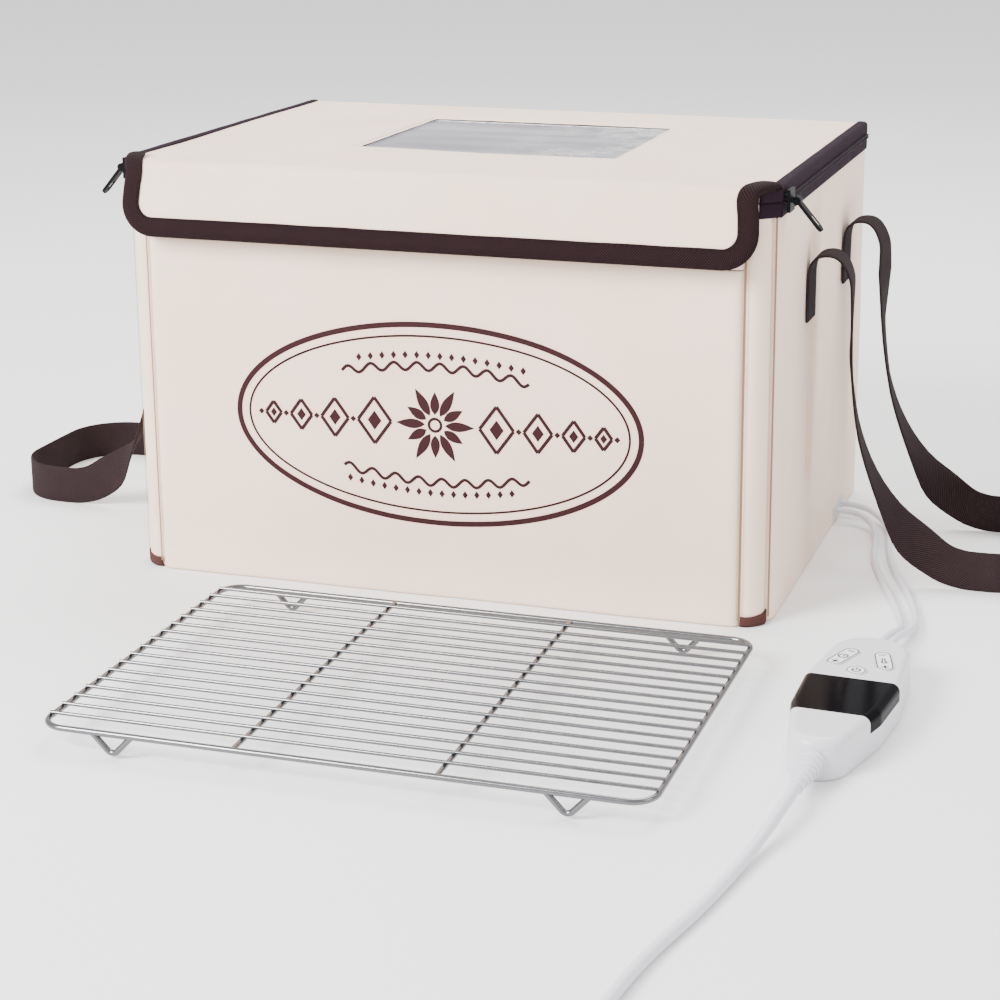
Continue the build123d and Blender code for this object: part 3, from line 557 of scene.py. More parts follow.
def frontFace(x, z):
    box = frontPanel
    y = box["face"] + roll(box["half"] - abs(x), box["edgeRound"])
    y += roll(z, box["footRound"]) + roll(box["top"] - z, 2.0)
    under = ease(z, *box["tuck"])
    soft = pucker(x, 0, z * 0.6, 80, 1.0) + pucker(x, 3, z, 30, 0.35)
    near = bell(box["half"] - abs(x), 16)
    soft += near * (0.3 + pucker(x * 0.4, 8, z, 11, 0.6))
    soft -= 0.9 * (1 - (x / box["half"]) ** 2) * math.sin(math.pi * min(max(z / box["top"], 0), 1))
    y += soft * (1 - under) + (abs(soft) * 0.3 + 0.5 + 0.9 * (1 - ease(abs(x), *box["tapeEdge"]))) * under
    return Vector((x, y, z))


def headerFace(x, z):
    y = -159.8 + roll(frontPanel["half"] - abs(x), 5) + roll(case["top"] - z, 2)
    return Vector((x, y + pucker(x, 5, z, 40, 0.3), z))


def makeFront():
    box = frontPanel
    us, zs = graded(-box["half"], box["half"], 6, 9, 8), graded(0.3, box["top"] - 0.3, 5, 6, 5)
    skin = clothGrid("frontCloth", us, zs, frontFace, cream, thick=box["thick"])
    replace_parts(skin, "front_cover")
    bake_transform(skin)
    lining = boardLining("frontLining", (-197.5, 197.5), (-158.4, -152.2), (46.5, 230.0))
    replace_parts(lining, "front_board")
    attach(lining, "front_panel")
    header = clothGrid("headerCloth", us, graded(231.4, case["top"], 5, 3, 4), headerFace, cream, thick=1.0)
    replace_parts(header, "header_cover")
    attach(header, "header")
    lining = boardLining("headerLining", (-198.5, 198.5), (-158.4, -152.2), (231.7, 271.0))
    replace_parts(lining, "header_board")
    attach(lining, "header")


def boardLining(name, xs, ys, zs):  # a foil-faced foam board with softly rounded edges
    low, high = Vector((xs[0], ys[0], zs[0])), Vector((xs[1], ys[1], zs[1]))
    sides = [b - a for a, b in (xs, ys, zs)]
    thin = sides.index(min(sides))
    flat = [i for i in range(3) if i != thin]
    us = graded(low[flat[0]], high[flat[0]], 9, 3, 3)
    vs = graded(low[flat[1]], high[flat[1]], 9, 3, 3)
    points, uvs = [], []
    for face in (0, 1):
        for v in vs:
            for u in us:
                depth = min(u - us[0], us[-1] - u, v - vs[0], vs[-1] - v)
                p = Vector((0, 0, 0))
                p[flat[0]], p[flat[1]] = u, v
                inset = roll(depth, min(2.4, sides[thin] / 2 - 0.1))
                dent = pucker(u, v, face * 40, 26, 0.25) + 0.2
                p[thin] = (low[thin] + inset + dent) if face == 0 else (high[thin] - inset - dent)
                points.append(p)
                uvs.append((u, v))
    piece = buildMesh(name, points, slabFaces(len(us), len(vs)), [foil], uvs)
    return piece


makeFront()
print("front made")


# Soft walls and padded corners. The plan runs from the front panel's edge to the back corner.
wallPlan = {
    "front": -143.4, "inner": 212.0, "backRound": 5.0, "padDeep": 6.0, "padProud": 1.2,
    "crease": -24.0, "creaseDeep": 4.4, "creaseWide": (14.0, 2.6), "softCrease": -112.0, "sewn": 220.1,
}


def cornerPoint(t, out):  # across a cut corner, t from the front to the side
    return Vector(case["cutFront"]).lerp(Vector(case["cutSide"]), t) + Vector(case["cutOut"]) * out


def padPoint(t, lift=0.0):  # across the padded corner
    rise = wallPlan["padProud"] * (1 - (2 * t - 1) ** 2) - wallPlan["padDeep"] * abs(2 * t - 1) ** 4
    return cornerPoint(0.09 + 0.82 * t, rise + lift)


def wallPoint(y, z, bare=False):
    plan, toBack = wallPlan, case["halfY"] - y  # past the back edge the cloth turns in
    x = case["halfX"] - 0.7 * roll(y - plan["front"], 9) - roll(toBack, plan["backRound"]) - max(0, -toBack)
    if not bare:
        fade, slant = ease(z, case["rim"], 78) * ease(264 - z, 0, 24), (z - 150) * 0.03
        past = y - plan["crease"] - slant - pucker(3, 3, z, 60, 3)
        x -= plan["creaseDeep"] * bell(past, plan["creaseWide"][past > 0]) * fade
        x -= 1.3 * bell(y - plan["softCrease"] + slant, 11) * fade
        x += (pucker(y * 1.8, 1, z * 0.45, 60, 2.2) + 0.6) * fade + pucker(y, 9, z, 24, 0.4) * fade
        free = min(ease(abs(y - strand), 16, 27) for strand in case["strands"])
        x = min(x, plan["sewn"]) + max(0, x - plan["sewn"]) * free  # flat where the handles are sewn on
    return Vector((x, min(y, 159.9), z))


def wallStops():
    front = graded(wallPlan["front"], case["halfY"], 6, 7, 6)
    fold = [wallPlan["crease"] + d for d in (-9, -6, -4, -2.5, -1.2, 0, 1.2, 2.5, 4, 6, 9, 12)]
    return sorted(set(front) | set(fold) | {161.2, 163.2})  # the last two turn in at the back


def shellMesh(name, outer, inner, uvs, wide, side):  # cloth outside, foil inside
    high = len(outer) // wide
    faces = mirrored(slabFaces(wide, high), side)
    squares = (wide - 1) * (high - 1)
    kinds = [0] * squares + [1] * squares + [0] * (len(faces) - 2 * squares)
    points = [Vector((side * p.x, p.y, p.z)) for p in outer + inner]
    return buildMesh(name, points, faces, [cream, foil], uvs + uvs, kinds)


def makeWall(side, label):
    ys, zs = wallStops(), graded(case["rim"], case["top"], 6, 3, 3)
    outer = [wallPoint(y, z) for z in zs for y in ys]
    for p in outer:
        p.x -= roll(case["top"] - p.z, 1.6)
    inner = [
        Vector((wallPlan["inner"] + 0.3 + pucker(y, 4, z, 22, 0.25), max(min(y, 159.2), -143.2), z))
        for z in zs for y in ys
    ]
    uvs = [(y, z) for z in zs for y in ys]
    wall = shellMesh("sideWall" + label, outer, inner, uvs, len(ys), side)
    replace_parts(wall, "side_wall_" + label.lower())
    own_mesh(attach(wall, "tub"))


padStops = [-0.3, -0.15, 0, 0.02, 0.05, 0.1, 0.18, 0.3, 0.42, 0.5, 0.58, 0.7, 0.82, 0.9, 0.95, 0.98, 1]


def padSurface(t, z):  # below 0 the cloth turns in behind the front panel's edge
    if t < 0:
        return Vector((200.6, -156.5 - t * 14, z))
    p = padPoint(t, pucker(t * 20, 7, z, 30, 0.35))
    return Vector((p.x, p.y, z))


def makeCornerPad(side, label):
    zs = graded(case["rim"], case["top"], 6, 3, 3)
    outer = [padSurface(t, z) for z in zs for t in padStops]
    foot, edge = (201.2, -152.0), (212.3, -144.3)
    inner = [Vector((*foot, z)).lerp(Vector((*edge, z)), max(t, 0)) for z in zs for t in padStops]
    uvs = [(t * 24, z) for z in zs for t in padStops]
    pad = shellMesh("cornerPad" + label, outer, inner, uvs, len(padStops), side)
    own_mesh(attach(pad, "tub"))
    return pad


def makeWalls():
    for side, label in wallSides:
        makeWall(side, label)
    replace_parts(makeCornerPad(1, "Right"), "corner_gussets")
    makeCornerPad(-1, "Left")


makeWalls()


def makeGrooveShade():  # painted shade: brown strips in the grooves beside the padded corners, standing for the seams' shadow
    grooves = [
        [(201.4, -158.4), (202.0, -157.8), (202.8, -157.6)],
        [(217.7, -145.6), (218.2, -144.9), (218.7, -144.4)],
    ]
    heights = (("Foot", [5, 12, 22, 34, 46]), ("Wall", graded(case["rim"], 270.5, 6)))
    for side, label in wallSides:
        for number, groove in enumerate(grooves):
            for part, zs in heights:
                rows = [[(k, (x, y, z)) for k, (x, y) in enumerate(groove)] for z in zs]
                piece = sidePatch(f"cornerSeam{part}{label}{number}", side, rows, grooveShadeTape)
                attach(piece, "tub")
                if part == "Wall":
                    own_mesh(piece)


makeGrooveShade()


# The tray: cloth outside, foil inside, made without an opening for the cable grommet in its right side
tray = {"backRim": 49.0, "floor": 7.0, "footRound": 2.5, "liningX": 212.0, "liningY": 152.0}


def trayOutline(z):
    rim = case["rim"]
    right = [Vector((198.5, -156.6, 0)), Vector((200.6, -155.6, 0))]
    right += [padSurface(t, z) for t in padStops[2:]]
    right += [wallPoint(y, max(z, rim), z < rim) for y in wallStops()]
    for p in right:
        if z < rim and p.y > -143:
            p.x += 0.35 * min(1, (p.y + 143) / 10)
    half = right + [Vector((x, 160 - roll(215 - x, 1), 0)) for x in (208, 190, 150, 100, 50)]
    front = [Vector((x, -158.6, 0)) for x in (-194, -150, -75, 0, 75, 150, 194)]
    return half + [Vector((-p.x, p.y, 0)) for p in reversed(half)] + front


def makeTrayCloth():
    rows = [0.2, 0.6, 1.2, 2.0, 3.0, 6, 10, 15, 20, 26, 32, 38, 42, 45, 46]
    points, uvs = [], []
    for z in rows:
        inset = roll(z, tray["footRound"])
        rise = (tray["backRim"] - case["rim"]) * (z / case["rim"])
        for p in trayOutline(z):
            shift = Vector((math.copysign(min(inset, abs(p.x)), p.x), math.copysign(inset, p.y), 0))
            p = Vector((p.x, p.y, 0)) - shift
            lift = rise if p.y > 150 and abs(p.x) < 211.5 else 0
            points.append(Vector((p.x, p.y, z + lift)))
            uvs.append((p.x + p.y, z))
    wide = len(points) // len(rows)
    x, y = tray["liningX"], tray["liningY"]
    for p in points[-wide:]:  # the rim runs in to the lining
        inner = Vector((max(-x, min(x, p.x)), max(-y, min(y, p.y)), p.z))
        if abs(p.x) < 203 and p.y < -150:
            inner.y = -y
        points.append(inner)
        uvs.append((inner.x + inner.y, 54))
    faces = gridFaces(wide, len(rows) + 1, closed=True) + [tuple(range(wide))[::-1]]
    piece = buildMesh("trayCloth", points, faces, [cream], uvs)
    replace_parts(piece, "bottom_cover", "curb_cover", "curb_foam")
    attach(piece, "tub")


def makeTrayFloor():
    halfX, halfY = tray["liningX"] - 0.2, tray["liningY"] - 0.2

    def basin(x, y):
        depth = min(halfX - abs(x), halfY - abs(y))
        return Vector((x, y, tray["floor"] + roll(depth, 6) * 0.9 - 0.15 + pucker(x, y, 0, 20, 0.12)))

    us, vs = graded(-halfX, halfX, 8, 8, 5), graded(-halfY, halfY, 8, 8, 5)
    floor = clothGrid("trayFloorLining", us, vs, basin, foil)
    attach(floor, "tub")
    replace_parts(floor, "tub_liner")


def makeTrayLining():
    zs, count = [11.5, 16, 24, 32, 40, 45.8], 40
    x, y = tray["liningX"] - 0.1, tray["liningY"] - 0.1
    points, uvs = [], []
    for z in zs:
        for u, v in walkRound([(-x, -y), (x, -y), (x, y), (-x, y)], count):
            dent = 0.3 + pucker(u, v, z, 20, 0.25)
            points.append(Vector((u - math.copysign(dent, u), v - math.copysign(dent, v), z)))
            uvs.append((u + v, z))
    faces = mirrored(gridFaces(4 * count, len(zs), closed=True), -1)
    lining = buildMesh("trayWallLining", points, faces, [foil], uvs)
    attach(lining, "tub")


makeTrayCloth()
makeTrayFloor()
makeTrayLining()


def makeCornerTabs():  # short pieces of binding at the feet of the two padded corners
    tab = {"low": 0.4, "left": 6.5, "right": 9.0, "proud": 1.0, "thick": 1.2}
    stops = [i / 16 for i in range(17)]
    for side, label in wallSides:
        rows = []
        for level in range(5):
            row = []
            for t in stops:
                z = tab["low"] + (tab["left"] + (tab["right"] - tab["left"]) * t**2) * level / 4
                p = padPoint(t, tab["proud"] - roll(z, 2.5) * 0.6 + (3.0 * abs(2 * t - 1) ** 4))
                row.append((t * 24, (p.x, p.y, z)))
            rows.append(row)
        piece = sidePatch("cornerTab" + label, side, rows, cornerTape)
        thicken(piece, tab["thick"])
        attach(piece, "tub")


makeCornerTabs()
print("walls and tray made")


# The back, in two panels that fold at the knee, and the strip that carries the lid
backPanel = {"half": 211.4, "face": 160.0, "foot": 49.2, "knee": 159.5, "top": 269.6}


def backFace(x, z):
    y = backPanel["face"] - roll(backPanel["half"] - abs(x), 4) + pucker(x, 20, z, 60, 0.4)
    y -= 0.8 * bell(z - backPanel["knee"], 3.5)
    return Vector((x, y - 0.3, z))


def makeBack():
    us = graded(-backPanel["half"], backPanel["half"], 7, 6, 5)
    foot, middle, top = backPanel["foot"], backPanel["knee"], backPanel["top"]
    for part, zs in (("Lower", (foot, middle)), ("Upper", (middle, top))):
        piece = clothGrid(f"back{part}Cloth", us, graded(*zs, 6, 5, 4), backFace, cream, thick=1, flip=True)
        body = "back_" + part.lower()
        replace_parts(piece, body + "_cover")
        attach(piece, body)
    for part, zs in (("Lower", (49.6, 159.0)), ("Upper", (160.0, 269.4))):
        lining = boardLining(f"back{part}Lining", (-211.2, 211.2), (152.2, 158.6), zs)
        body = "back_" + part.lower()
        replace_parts(lining, body + "_board")
        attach(lining, body)


def hangingStrip(name, route, xs, finish):  # cloth that follows a route of (y, z) points
    line = easeLine([(0, y, z) for y, z in route], 6)
    points = [Vector((x, p.y, p.z)) for p in line for x in xs]
    uvs = [(x, length) for length in lineLengths(line) for x in xs]
    piece = buildMesh(name, points, gridFaces(len(xs), len(line)), [finish], uvs)
    thicken(piece, 1.1, 0)
    return piece


def makeLidStrips():
    route = [(130.4, 271.0), (150, 271.0), (160.9, 271.0), (161.0, 270.4), (161.0, 263.0)]
    us = graded(-backPanel["half"], backPanel["half"], 7, 6, 5)
    piece = hangingStrip("lidStrip", route, us, binding)
    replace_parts(piece, "hinge_strip")
    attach(piece, "lid_carrier")
    route = [(156, 280.6), (159.5, 280.2), (161.4, 279.2), (161.9, 277)]
    route += [(162.2, 272), (162.1, 264), (161.9, 261.5)]
    piece = hangingStrip("lidHinge", route, graded(-218.5, 218.5, 7, 3, 3), cream)
    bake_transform(piece)


makeBack()
makeLidStrips()
print("back made")


# The lid: a padded panel with a clear window, its zips and its flap
lidPanel = {
    "halfX": 219.7, "halfY": 159.7, "foot": 272.4, "top": 280.0, "edgeRound": 3.6,
    "cutY": -143.7, "cutSlope": 1.1, "windowX": 90.0, "windowY": 75.0, "windowBack": 15.0,
}


def lidHalf(y):  # the lid's front corners are cut like the box's
    return lidPanel["halfX"] - max(0.0, lidPanel["cutY"] - y) * lidPanel["cutSlope"]


def lidTop(x, y):
    lid = lidPanel
    depth = min((lidHalf(y) - abs(x)) * (0.75 if y < lid["cutY"] else 1), lid["halfY"] - abs(y))
    across = max(abs(x) - lid["windowX"], abs(y - lid["windowBack"]) - lid["windowY"])
    z = lid["top"] + 0.9 - roll(depth, lid["edgeRound"])
    z += 0.7 * min(1, depth / 40) + pucker(x, y, 30, 75, 0.6) + pucker(x, y, 50, 22, 0.25)
    z -= 1.5 * bell(across, 4.5)
    z -= 0.5 * bell(y + 118, 5) * min(1, depth / 30)
    return Vector((x, y, z))


def lidUnder(x, y):
    x *= lidHalf(y) / lidPanel["halfX"]
    depth = min(lidHalf(y) - abs(x), lidPanel["halfY"] - abs(y))
    return Vector((x, y, 272.35 + roll(depth, 1.5) + pucker(x, y, 70, 24, 0.12)))


def lidStops(edge, middle, window):  # even stops, with close ones beside the window
    near = {middle + s * (window + d) for s in (-1, 1) for d in (0, 1.5, 3, 5, 8)}
    stops = sorted(set(graded(-edge, edge, 7, 7, 6)) | near)
    return [stop for stop in stops if not 0.01 < abs(abs(stop - middle) - window) < 1.2]


def inWindow(x, y):
    return abs(x) < lidPanel["windowX"] and abs(y - lidPanel["windowBack"]) < lidPanel["windowY"]


def windowCorners(out):
    x, y, middle = lidPanel["windowX"] + out, lidPanel["windowY"] + out, lidPanel["windowBack"]
    return [(-x, middle - y), (x, middle - y), (x, middle + y), (-x, middle + y)]


def makeLid():
    lid = lidPanel
    xs = lidStops(lid["halfX"], 0, lid["windowX"])
    ys = lidStops(lid["halfY"], lid["windowBack"], lid["windowY"])
    points = [lidTop(x * lidHalf(y) / lid["halfX"], y) for y in ys for x in xs]
    uvs = [(x, y) for y in ys for x in xs]
    faces = gridFaces(len(xs), len(ys), squaresIn(xs, ys, inWindow))
    rim = above = rimOf(len(xs), len(ys))
    for z in (276, 274.5, lid["foot"]):
        ring = [len(points) + i for i in range(len(rim))]
        points += [Vector((points[r].x, points[r].y, z)) for r in rim]
        uvs += [(uvs[r][0] + uvs[r][1], z) for r in rim]
        faces += [(above[i - 1], ring[i - 1], ring[i], above[i]) for i in range(len(rim))]
        above = ring
    cover = buildMesh("lidCloth", points, faces, [cream], uvs, sharp=55)
    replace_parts(cover, "lid_cover")
    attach(cover, "lid")
    lining = clothGrid("lidLining", xs, ys, lidUnder, foil, skip=inWindow, flip=True)
    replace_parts(lining, "lid_board")
    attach(lining, "lid")
    points = [Vector((x, y, z)) for z in (lid["foot"], 278.4, 279.6) for x, y in windowCorners(0)]
    uvs = [(p.x, p.z) for p in points]
    reveal = buildMesh("windowReveal", points, gridFaces(4, 3, closed=True), [foil], uvs)
    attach(reveal, "lid")


def makeStitches(name, line, pitch, long, body, finish, normal=(0, 0, 1), radius=0.28):
    points, faces = [], []
    lengths = lineLengths(line)
    spots, at, piece = [], pitch / 2, 0
    while at < lengths[-1] - long:
        while lengths[piece + 1] < at:
            piece += 1
        ahead = (line[piece + 1] - line[piece]).normalized()
        spots.append((line[piece] + ahead * (at - lengths[piece]), ahead))
        at += pitch
    up = Vector(normal)
    for centre, ahead in spots:
        across = ahead.cross(up).normalized()
        start = len(points)
        for step, size in ((-0.5, 0.35), (-0.3, 1), (0.3, 1), (0.5, 0.35)):
            for turn in range(6):
                angle = math.pi * turn / 3
                point = centre + ahead * step * long + across * radius * size * math.cos(angle)
                points.append(point + up * radius * size * math.sin(angle))
        faces += [tuple(start + i for i in face) for face in gridFaces(6, 4, closed=True)]
    stitches = buildMesh(name, points, faces, [finish], sharp=0)
    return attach(stitches, body)


makeLid()


def hemLine(out):
    spots = [lidTop(x, y) + Vector((0, 0, 0.12)) for x, y in walkRound(windowCorners(out), 40)]
    return spots + [spots[0]]


makeStitches("windowStitches", hemLine(3.2), 3.2, 2.2, "lid", thread)


# The flap: cloth that rolls over the lid's front edge and leans out, bound along its sides and foot
flapPanel = {"half": 212.0, "rootHalf": 210.0, "deep": 48.0, "round": 22.0, "lean": math.radians(12)}


def flapPoint(x, down, out):
    c, s = math.cos(flapPanel["lean"]), math.sin(flapPanel["lean"])
    return Vector((x, -161 - out * c - down * s, 280 + out * s - down * c))


def flapHalf(down, inset):
    box = flapPanel
    straight, r = box["deep"] - box["round"], box["round"] - inset
    if down <= straight:
        return box["rootHalf"] - inset + (box["half"] - box["rootHalf"]) * ease(down, 0, 20)
    return box["half"] - box["round"] + math.sqrt(max(r**2 - (down - straight) ** 2, 0))


def makeFlap():
    inset = 3.0

    def row(down, out):
        return flapPoint(0, down, out), flapHalf(down, inset)

    front = [flapPanel["deep"] - inset - 0.01, 44, 42, 39, 35, 31, 27, 23, 19, 15, 12]
    over = easeLine([(0, -140, 281.0), (0, -150, 281.9), (0, -158.5, 281.9), (0, -163.5, 281.3),
                     (0, -166.2, 277.5), tuple(flapPoint(0, 8, 4.2)), tuple(flapPoint(0, 12, 4.2))], 5)
    outer = [(p, max(216 + (p.y + 143) * 0.35, 207) - 2) for p in over[:-1]]
    outer += [row(down, 4.2) for down in front[::-1]]
    profile = outer + [row(down, 0.2) for down in front + [6]]
    stops = graded(-1, 1, 0.035, 0.05, 4)
    points, uvs = [], []
    run = lineLengths([p for p, half in profile])
    for (p, half), length in zip(profile, run):
        for t in stops:
            x = t * half
            q = Vector((x, p.y, p.z))
            if length < run[len(outer) - 1]:
                soft = pucker(x, 60, length, 60, 0.7) + pucker(x, 66, length, 20, 0.3)
                soft += 0.5 * bell(length - 14, 7)
                calm = ease(p.z, 246, 257) * ease(half - abs(x), 9, 24)  # flat under the binding
                q += Vector((0, -0.9, 0.4)) * soft * min(1, length / 15) * calm
            points.append(q)
            uvs.append((x, length))
    piece = buildMesh("flapCloth", points, gridFaces(len(stops), len(profile)), [cream], uvs, sharp=60)
    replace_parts(piece, "flap_panel")
    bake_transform(piece)
    makeFlapBinding()


def bindingPath(lean):  # (centre, outwards, face) from one cut corner round the flap to the other
    box = flapPanel
    start = [
        ((220.2, -142.5, 280.2), (0.95, -0.3, 0), (0, 0, 1)),
        ((218.6, -148.0, 280.9), (0.93, -0.35, 0), (0, 0, 1)),
        ((215.2, -155.0, 281.0), (0.95, -0.3, 0), (0, -0.1, 1)),
        ((212.0, -162.5, 280.6), (0.98, -0.15, 0), (0, -0.5, 0.86)),
        (tuple(flapPoint(210.3, 4.0, 2.6)), (1, 0, 0), (0, -0.9, 0.4)),
        (tuple(flapPoint(210.6, 10, 2)), (1, 0, 0), lean),
        (tuple(flapPoint(211.6, 16, 2)), (1, 0, 0), lean),
        (tuple(flapPoint(212.0, 26, 2)), (1, 0, 0), lean),
    ]
    right = list(zip(*(easeLine([row[k] for row in start], 5) for k in range(3))))
    for k in range(1, 13):
        turn = math.radians(90 * k / 13)
        x = box["half"] - box["round"] * (1 - math.cos(turn))
        down = box["deep"] - box["round"] * (1 - math.sin(turn))
        out = flapPoint(math.cos(turn), math.sin(turn), 0) - flapPoint(0, 0, 0)
        right.append((flapPoint(x, down, 2), out, Vector(lean)))
    edge, count = box["half"] - box["round"], 60
    drop, foot = flapPoint(0, 1, 0) - flapPoint(0, 0, 0), box["deep"]
    across = [edge - 2 * edge * k / count for k in range(count + 1)]
    path = right + [(flapPoint(x, foot, 2), drop, Vector(lean)) for x in across]
    return path + [(Vector((-p.x, p.y, p.z)), Vector((-o.x, o.y, o.z)), n) for p, o, n in reversed(right)]


def makeFlapBinding():  # a folded ribbon, from the lid's cut corners round the flap's edge
    lean = (0, -math.cos(flapPanel["lean"]), math.sin(flapPanel["lean"]))
    path = bindingPath(lean)
    # (inwards from the edge, out from the flap's middle), round the fold
    section = [(12.6, 2.9), (12.2, 3.35), (8, 3.55), (4, 3.4), (1.6, 2.9), (0.2, 1.7), (-0.3, 0),
               (0.2, -1.7), (1.6, -2.9), (4, -3.3), (8, -3.4), (12.2, -3.2), (12.6, -2.7)]
    inner = [(12.4, -2.1), (6, -2.2), (6, 2.2), (12.4, 2.3)]
    ring = section + inner
    points, uvs = [], []
    line = [p for p, out, face in path]
    lengths = lineLengths(line)
    girth = lineLengths([Vector((a, b, 0)) for a, b in ring])
    for (p, out, face), length in zip(path, lengths):
        wave = pucker(length, 80, 0, 30, 0.35)
        out, face = out.normalized(), face.normalized()
        for (inward, lift), g in zip(ring, girth):
            shift = inward + (wave if inward > 6 else 0)
            points.append(p - out * shift + face * lift)
            uvs.append((length, g))
    piece = buildMesh("flapBinding", points, tubeFaces(len(ring), len(path)), [binding], uvs)
    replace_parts(piece, "flap_binding")
    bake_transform(piece)
    low = [row for row in path if row[0].z < 272]
    seam = [p - out.normalized() * 11.2 + face.normalized() * 3.5 for p, out, face in low]
    makeStitches("flapStitches", seam, 3.4, 2.3, "flap", webbing, normal=lean)


def makeTapes():  # the hook tape on the flap and the loop tape behind it
    low, high, half = 235.0, 251.0, 149.8
    us = graded(-half, half, 8, 3, 3)

    def hooks(x, z):
        down = 280 - z
        return flapPoint(x, down, -1.0 + roll(min(half - abs(x), down - 29, 45 - down), 0.8))

    def loops(x, z):
        return Vector((x, -161.0 + roll(min(half - abs(x), z - low, high - z), 0.8), z))

    zs = graded(low + 0.2, high - 0.2, 3, 1, 2)
    piece = clothGrid("hookTape", us, zs, hooks, hookLoop, thick=1.2, flip=True)
    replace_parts(piece, "hook_tape")
    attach(piece, "flap")
    piece = clothGrid("loopTape", us, graded(low, high, 3, 1, 2), loops, hookLoop, thick=1.0)
    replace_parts(piece, "loop_tape")
    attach(piece, "header")


makeFlap()
makeTapes()
print("lid and flap made")


# Zips: a tape along the wall and one along the lid, each with its row of teeth
zipLook = {
    "face": 221.2, "toothLong": 1.15, "toothPitch": 1.9, "toothOut": 2.0, "run": (-143.8, 156.8),
    "wall": [(220.6, 262.0), (221.2, 262.8), (221.2, 267), (221.2, 270.8), (220.9, 271.7)],
    "lid": [
        (220.9, 272.4), (221.2, 273.2), (221.2, 276), (221.2, 280.4),
        (219.8, 281.9), (217, 282.2), (214.4, 282.2), (213.4, 281.4),
    ],
    "wallTeeth": (270.5, 271.7, 0), "lidTeeth": (272.3, 273.5, 0.95),  # low, high, shift along the zip
}


def addTooth(points, faces, kinds, side, y, low, high):
    look, start, half, tip = zipLook, len(points), zipLook["toothLong"] / 2, (low + high) / 2
    outline = [(0, half, low), (0.75, half, low), (1, half * 0.5, tip), (0.75, half, high), (0, half, high)]
    for out, dy, z in outline:
        x = look["face"] - 0.2 + out * (look["toothOut"] + 0.2)
        points += [Vector((side * x, y + way * dy, z)) for way in (-1, 1)]
    made = [(0, 2, 3, 1), (2, 4, 5, 3), (4, 6, 7, 5), (6, 8, 9, 7), (8, 6, 4, 2, 0), (1, 3, 5, 7, 9)]
    faces += mirrored([tuple(start + i for i in face) for face in made], side)
    kinds += [1] * len(made)


def zipHalf(name, side, ys, profile, teeth):  # the tape follows a line of (x, z) points
    rows = easeLine([(x, 0, z) for x, z in profile], 4)
    us = graded(ys[0], ys[1], 8, 2, 3)
    lengths = lineLengths(rows)
    points, uvs = [], []
    for p, length in zip(rows, lengths):
        for y in us:
            points.append(Vector((side * p.x, y, p.z + pucker(y, side * 5, p.x, 30, 0.25) * (p.z > 279))))
            uvs.append((y, length))
    inner = []
    for j, p in enumerate(rows):
        ahead = rows[min(j + 1, len(rows) - 1)] - rows[max(j - 1, 0)]
        into = Vector((-ahead.z, 0, ahead.x)).normalized()
        inner += [Vector((side * (p.x + into.x), y, p.z + into.z)) for y in us]
    points, uvs = points + inner, uvs + uvs
    faces = mirrored(slabFaces(len(us), len(rows)), side)
    kinds = [0] * len(faces)
    y = ys[0] + 3 + teeth[2]
    while y < ys[1] - 3:
        addTooth(points, faces, kinds, side, y, teeth[0], teeth[1])
        y += zipLook["toothPitch"]
    uvs += [(0, 0)] * (len(points) - len(uvs))
    return buildMesh(name, points, faces, [zipTape, zipCoil], uvs, kinds)


def makeZips():
    look = zipLook
    for side, label in wallSides:
        lower = zipHalf("zipWall" + label, side, look["run"], look["wall"], look["wallTeeth"])
        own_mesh(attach(lower, "tub"))
        upper = zipHalf("zipLid" + label, side, look["run"], look["lid"], look["lidTeeth"])
        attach(upper, "lid")
        if side > 0:
            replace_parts(lower, "wall_zip_tapes")
            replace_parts(upper, "lid_zip_tapes")


makeZips()


def makeZipEnds():  # the tapes' ends, turned round the front corners
    spread = [0.36, 0.44, 0.52, 0.6, 0.7, 0.8, 0.9, 1.0]
    tapes = (("zipEndWall", [262.5, 264, 267, 270, 271.9], 1.3), ("zipEndLid", [272.2, 274, 277, 279.4], 2.4))
    for side, label in wallSides:
        for name, zs, lift in tapes:
            spots = [(t * 24, cornerPoint(t, lift)) for t in spread]
            rows = [[(stop, (p.x, p.y, z)) for stop, p in spots] for z in zs]
            piece = sidePatch(name + label, side, rows, zipTape)
            thicken(piece, 1.1)
            if name == "zipEndLid":
                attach(piece, "lid")
            else:
                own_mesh(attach(piece, "tub"))


makeZipEnds()


def ringTube(name, line, radius, finish, body):
    points, count = [], 8
    for i, p in enumerate(line):
        ahead = (line[(i + 1) % len(line)] - line[i - 1]).normalized()
        across = Vector((0, 1, 0)).cross(ahead) if abs(ahead.y) < 0.9 else Vector((0, 0, 1)).cross(ahead)
        across.normalize()
        up = ahead.cross(across)
        for k in range(count):
            turn = 2 * math.pi * k / count
            points.append(p + across * radius * math.cos(turn) + up * radius * math.sin(turn))
    faces = gridFaces(count, len(line), closed=True)
    last = len(points) - count
    faces += [(last + k, last + (k + 1) % count, (k + 1) % count, k) for k in range(count)]
    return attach(buildMesh(name, points, faces, [finish]), body)


def makePullRims():  # a bright worn rim in each pull's hole
    pull = {"x": 228.7, "y": -135.0, "z": 272.35, "angle": math.radians(40), "hole": 16.5}
    eye = {"long": 8.0, "wide": 3.75, "wire": 0.45}
    for side, label in wallSides:
        line, r = [], eye["wide"] / 2
        for first, along in ((0, 1), (180, -1)):
            for k in range(13):
                turn = math.radians(first + 15 * k - 90)
                t = pull["hole"] + along * (eye["long"] / 2 - r) + r * math.cos(turn)
                x, z = pull["x"] + t * math.sin(pull["angle"]), pull["z"] - t * math.cos(pull["angle"])
                line.append(Vector((side * x, pull["y"] + r * math.sin(turn), z)))
        ringTube("pullEye" + label, line, eye["wire"], brightMetal, "pull_tab_" + label.lower())


makePullRims()
print("zips made")


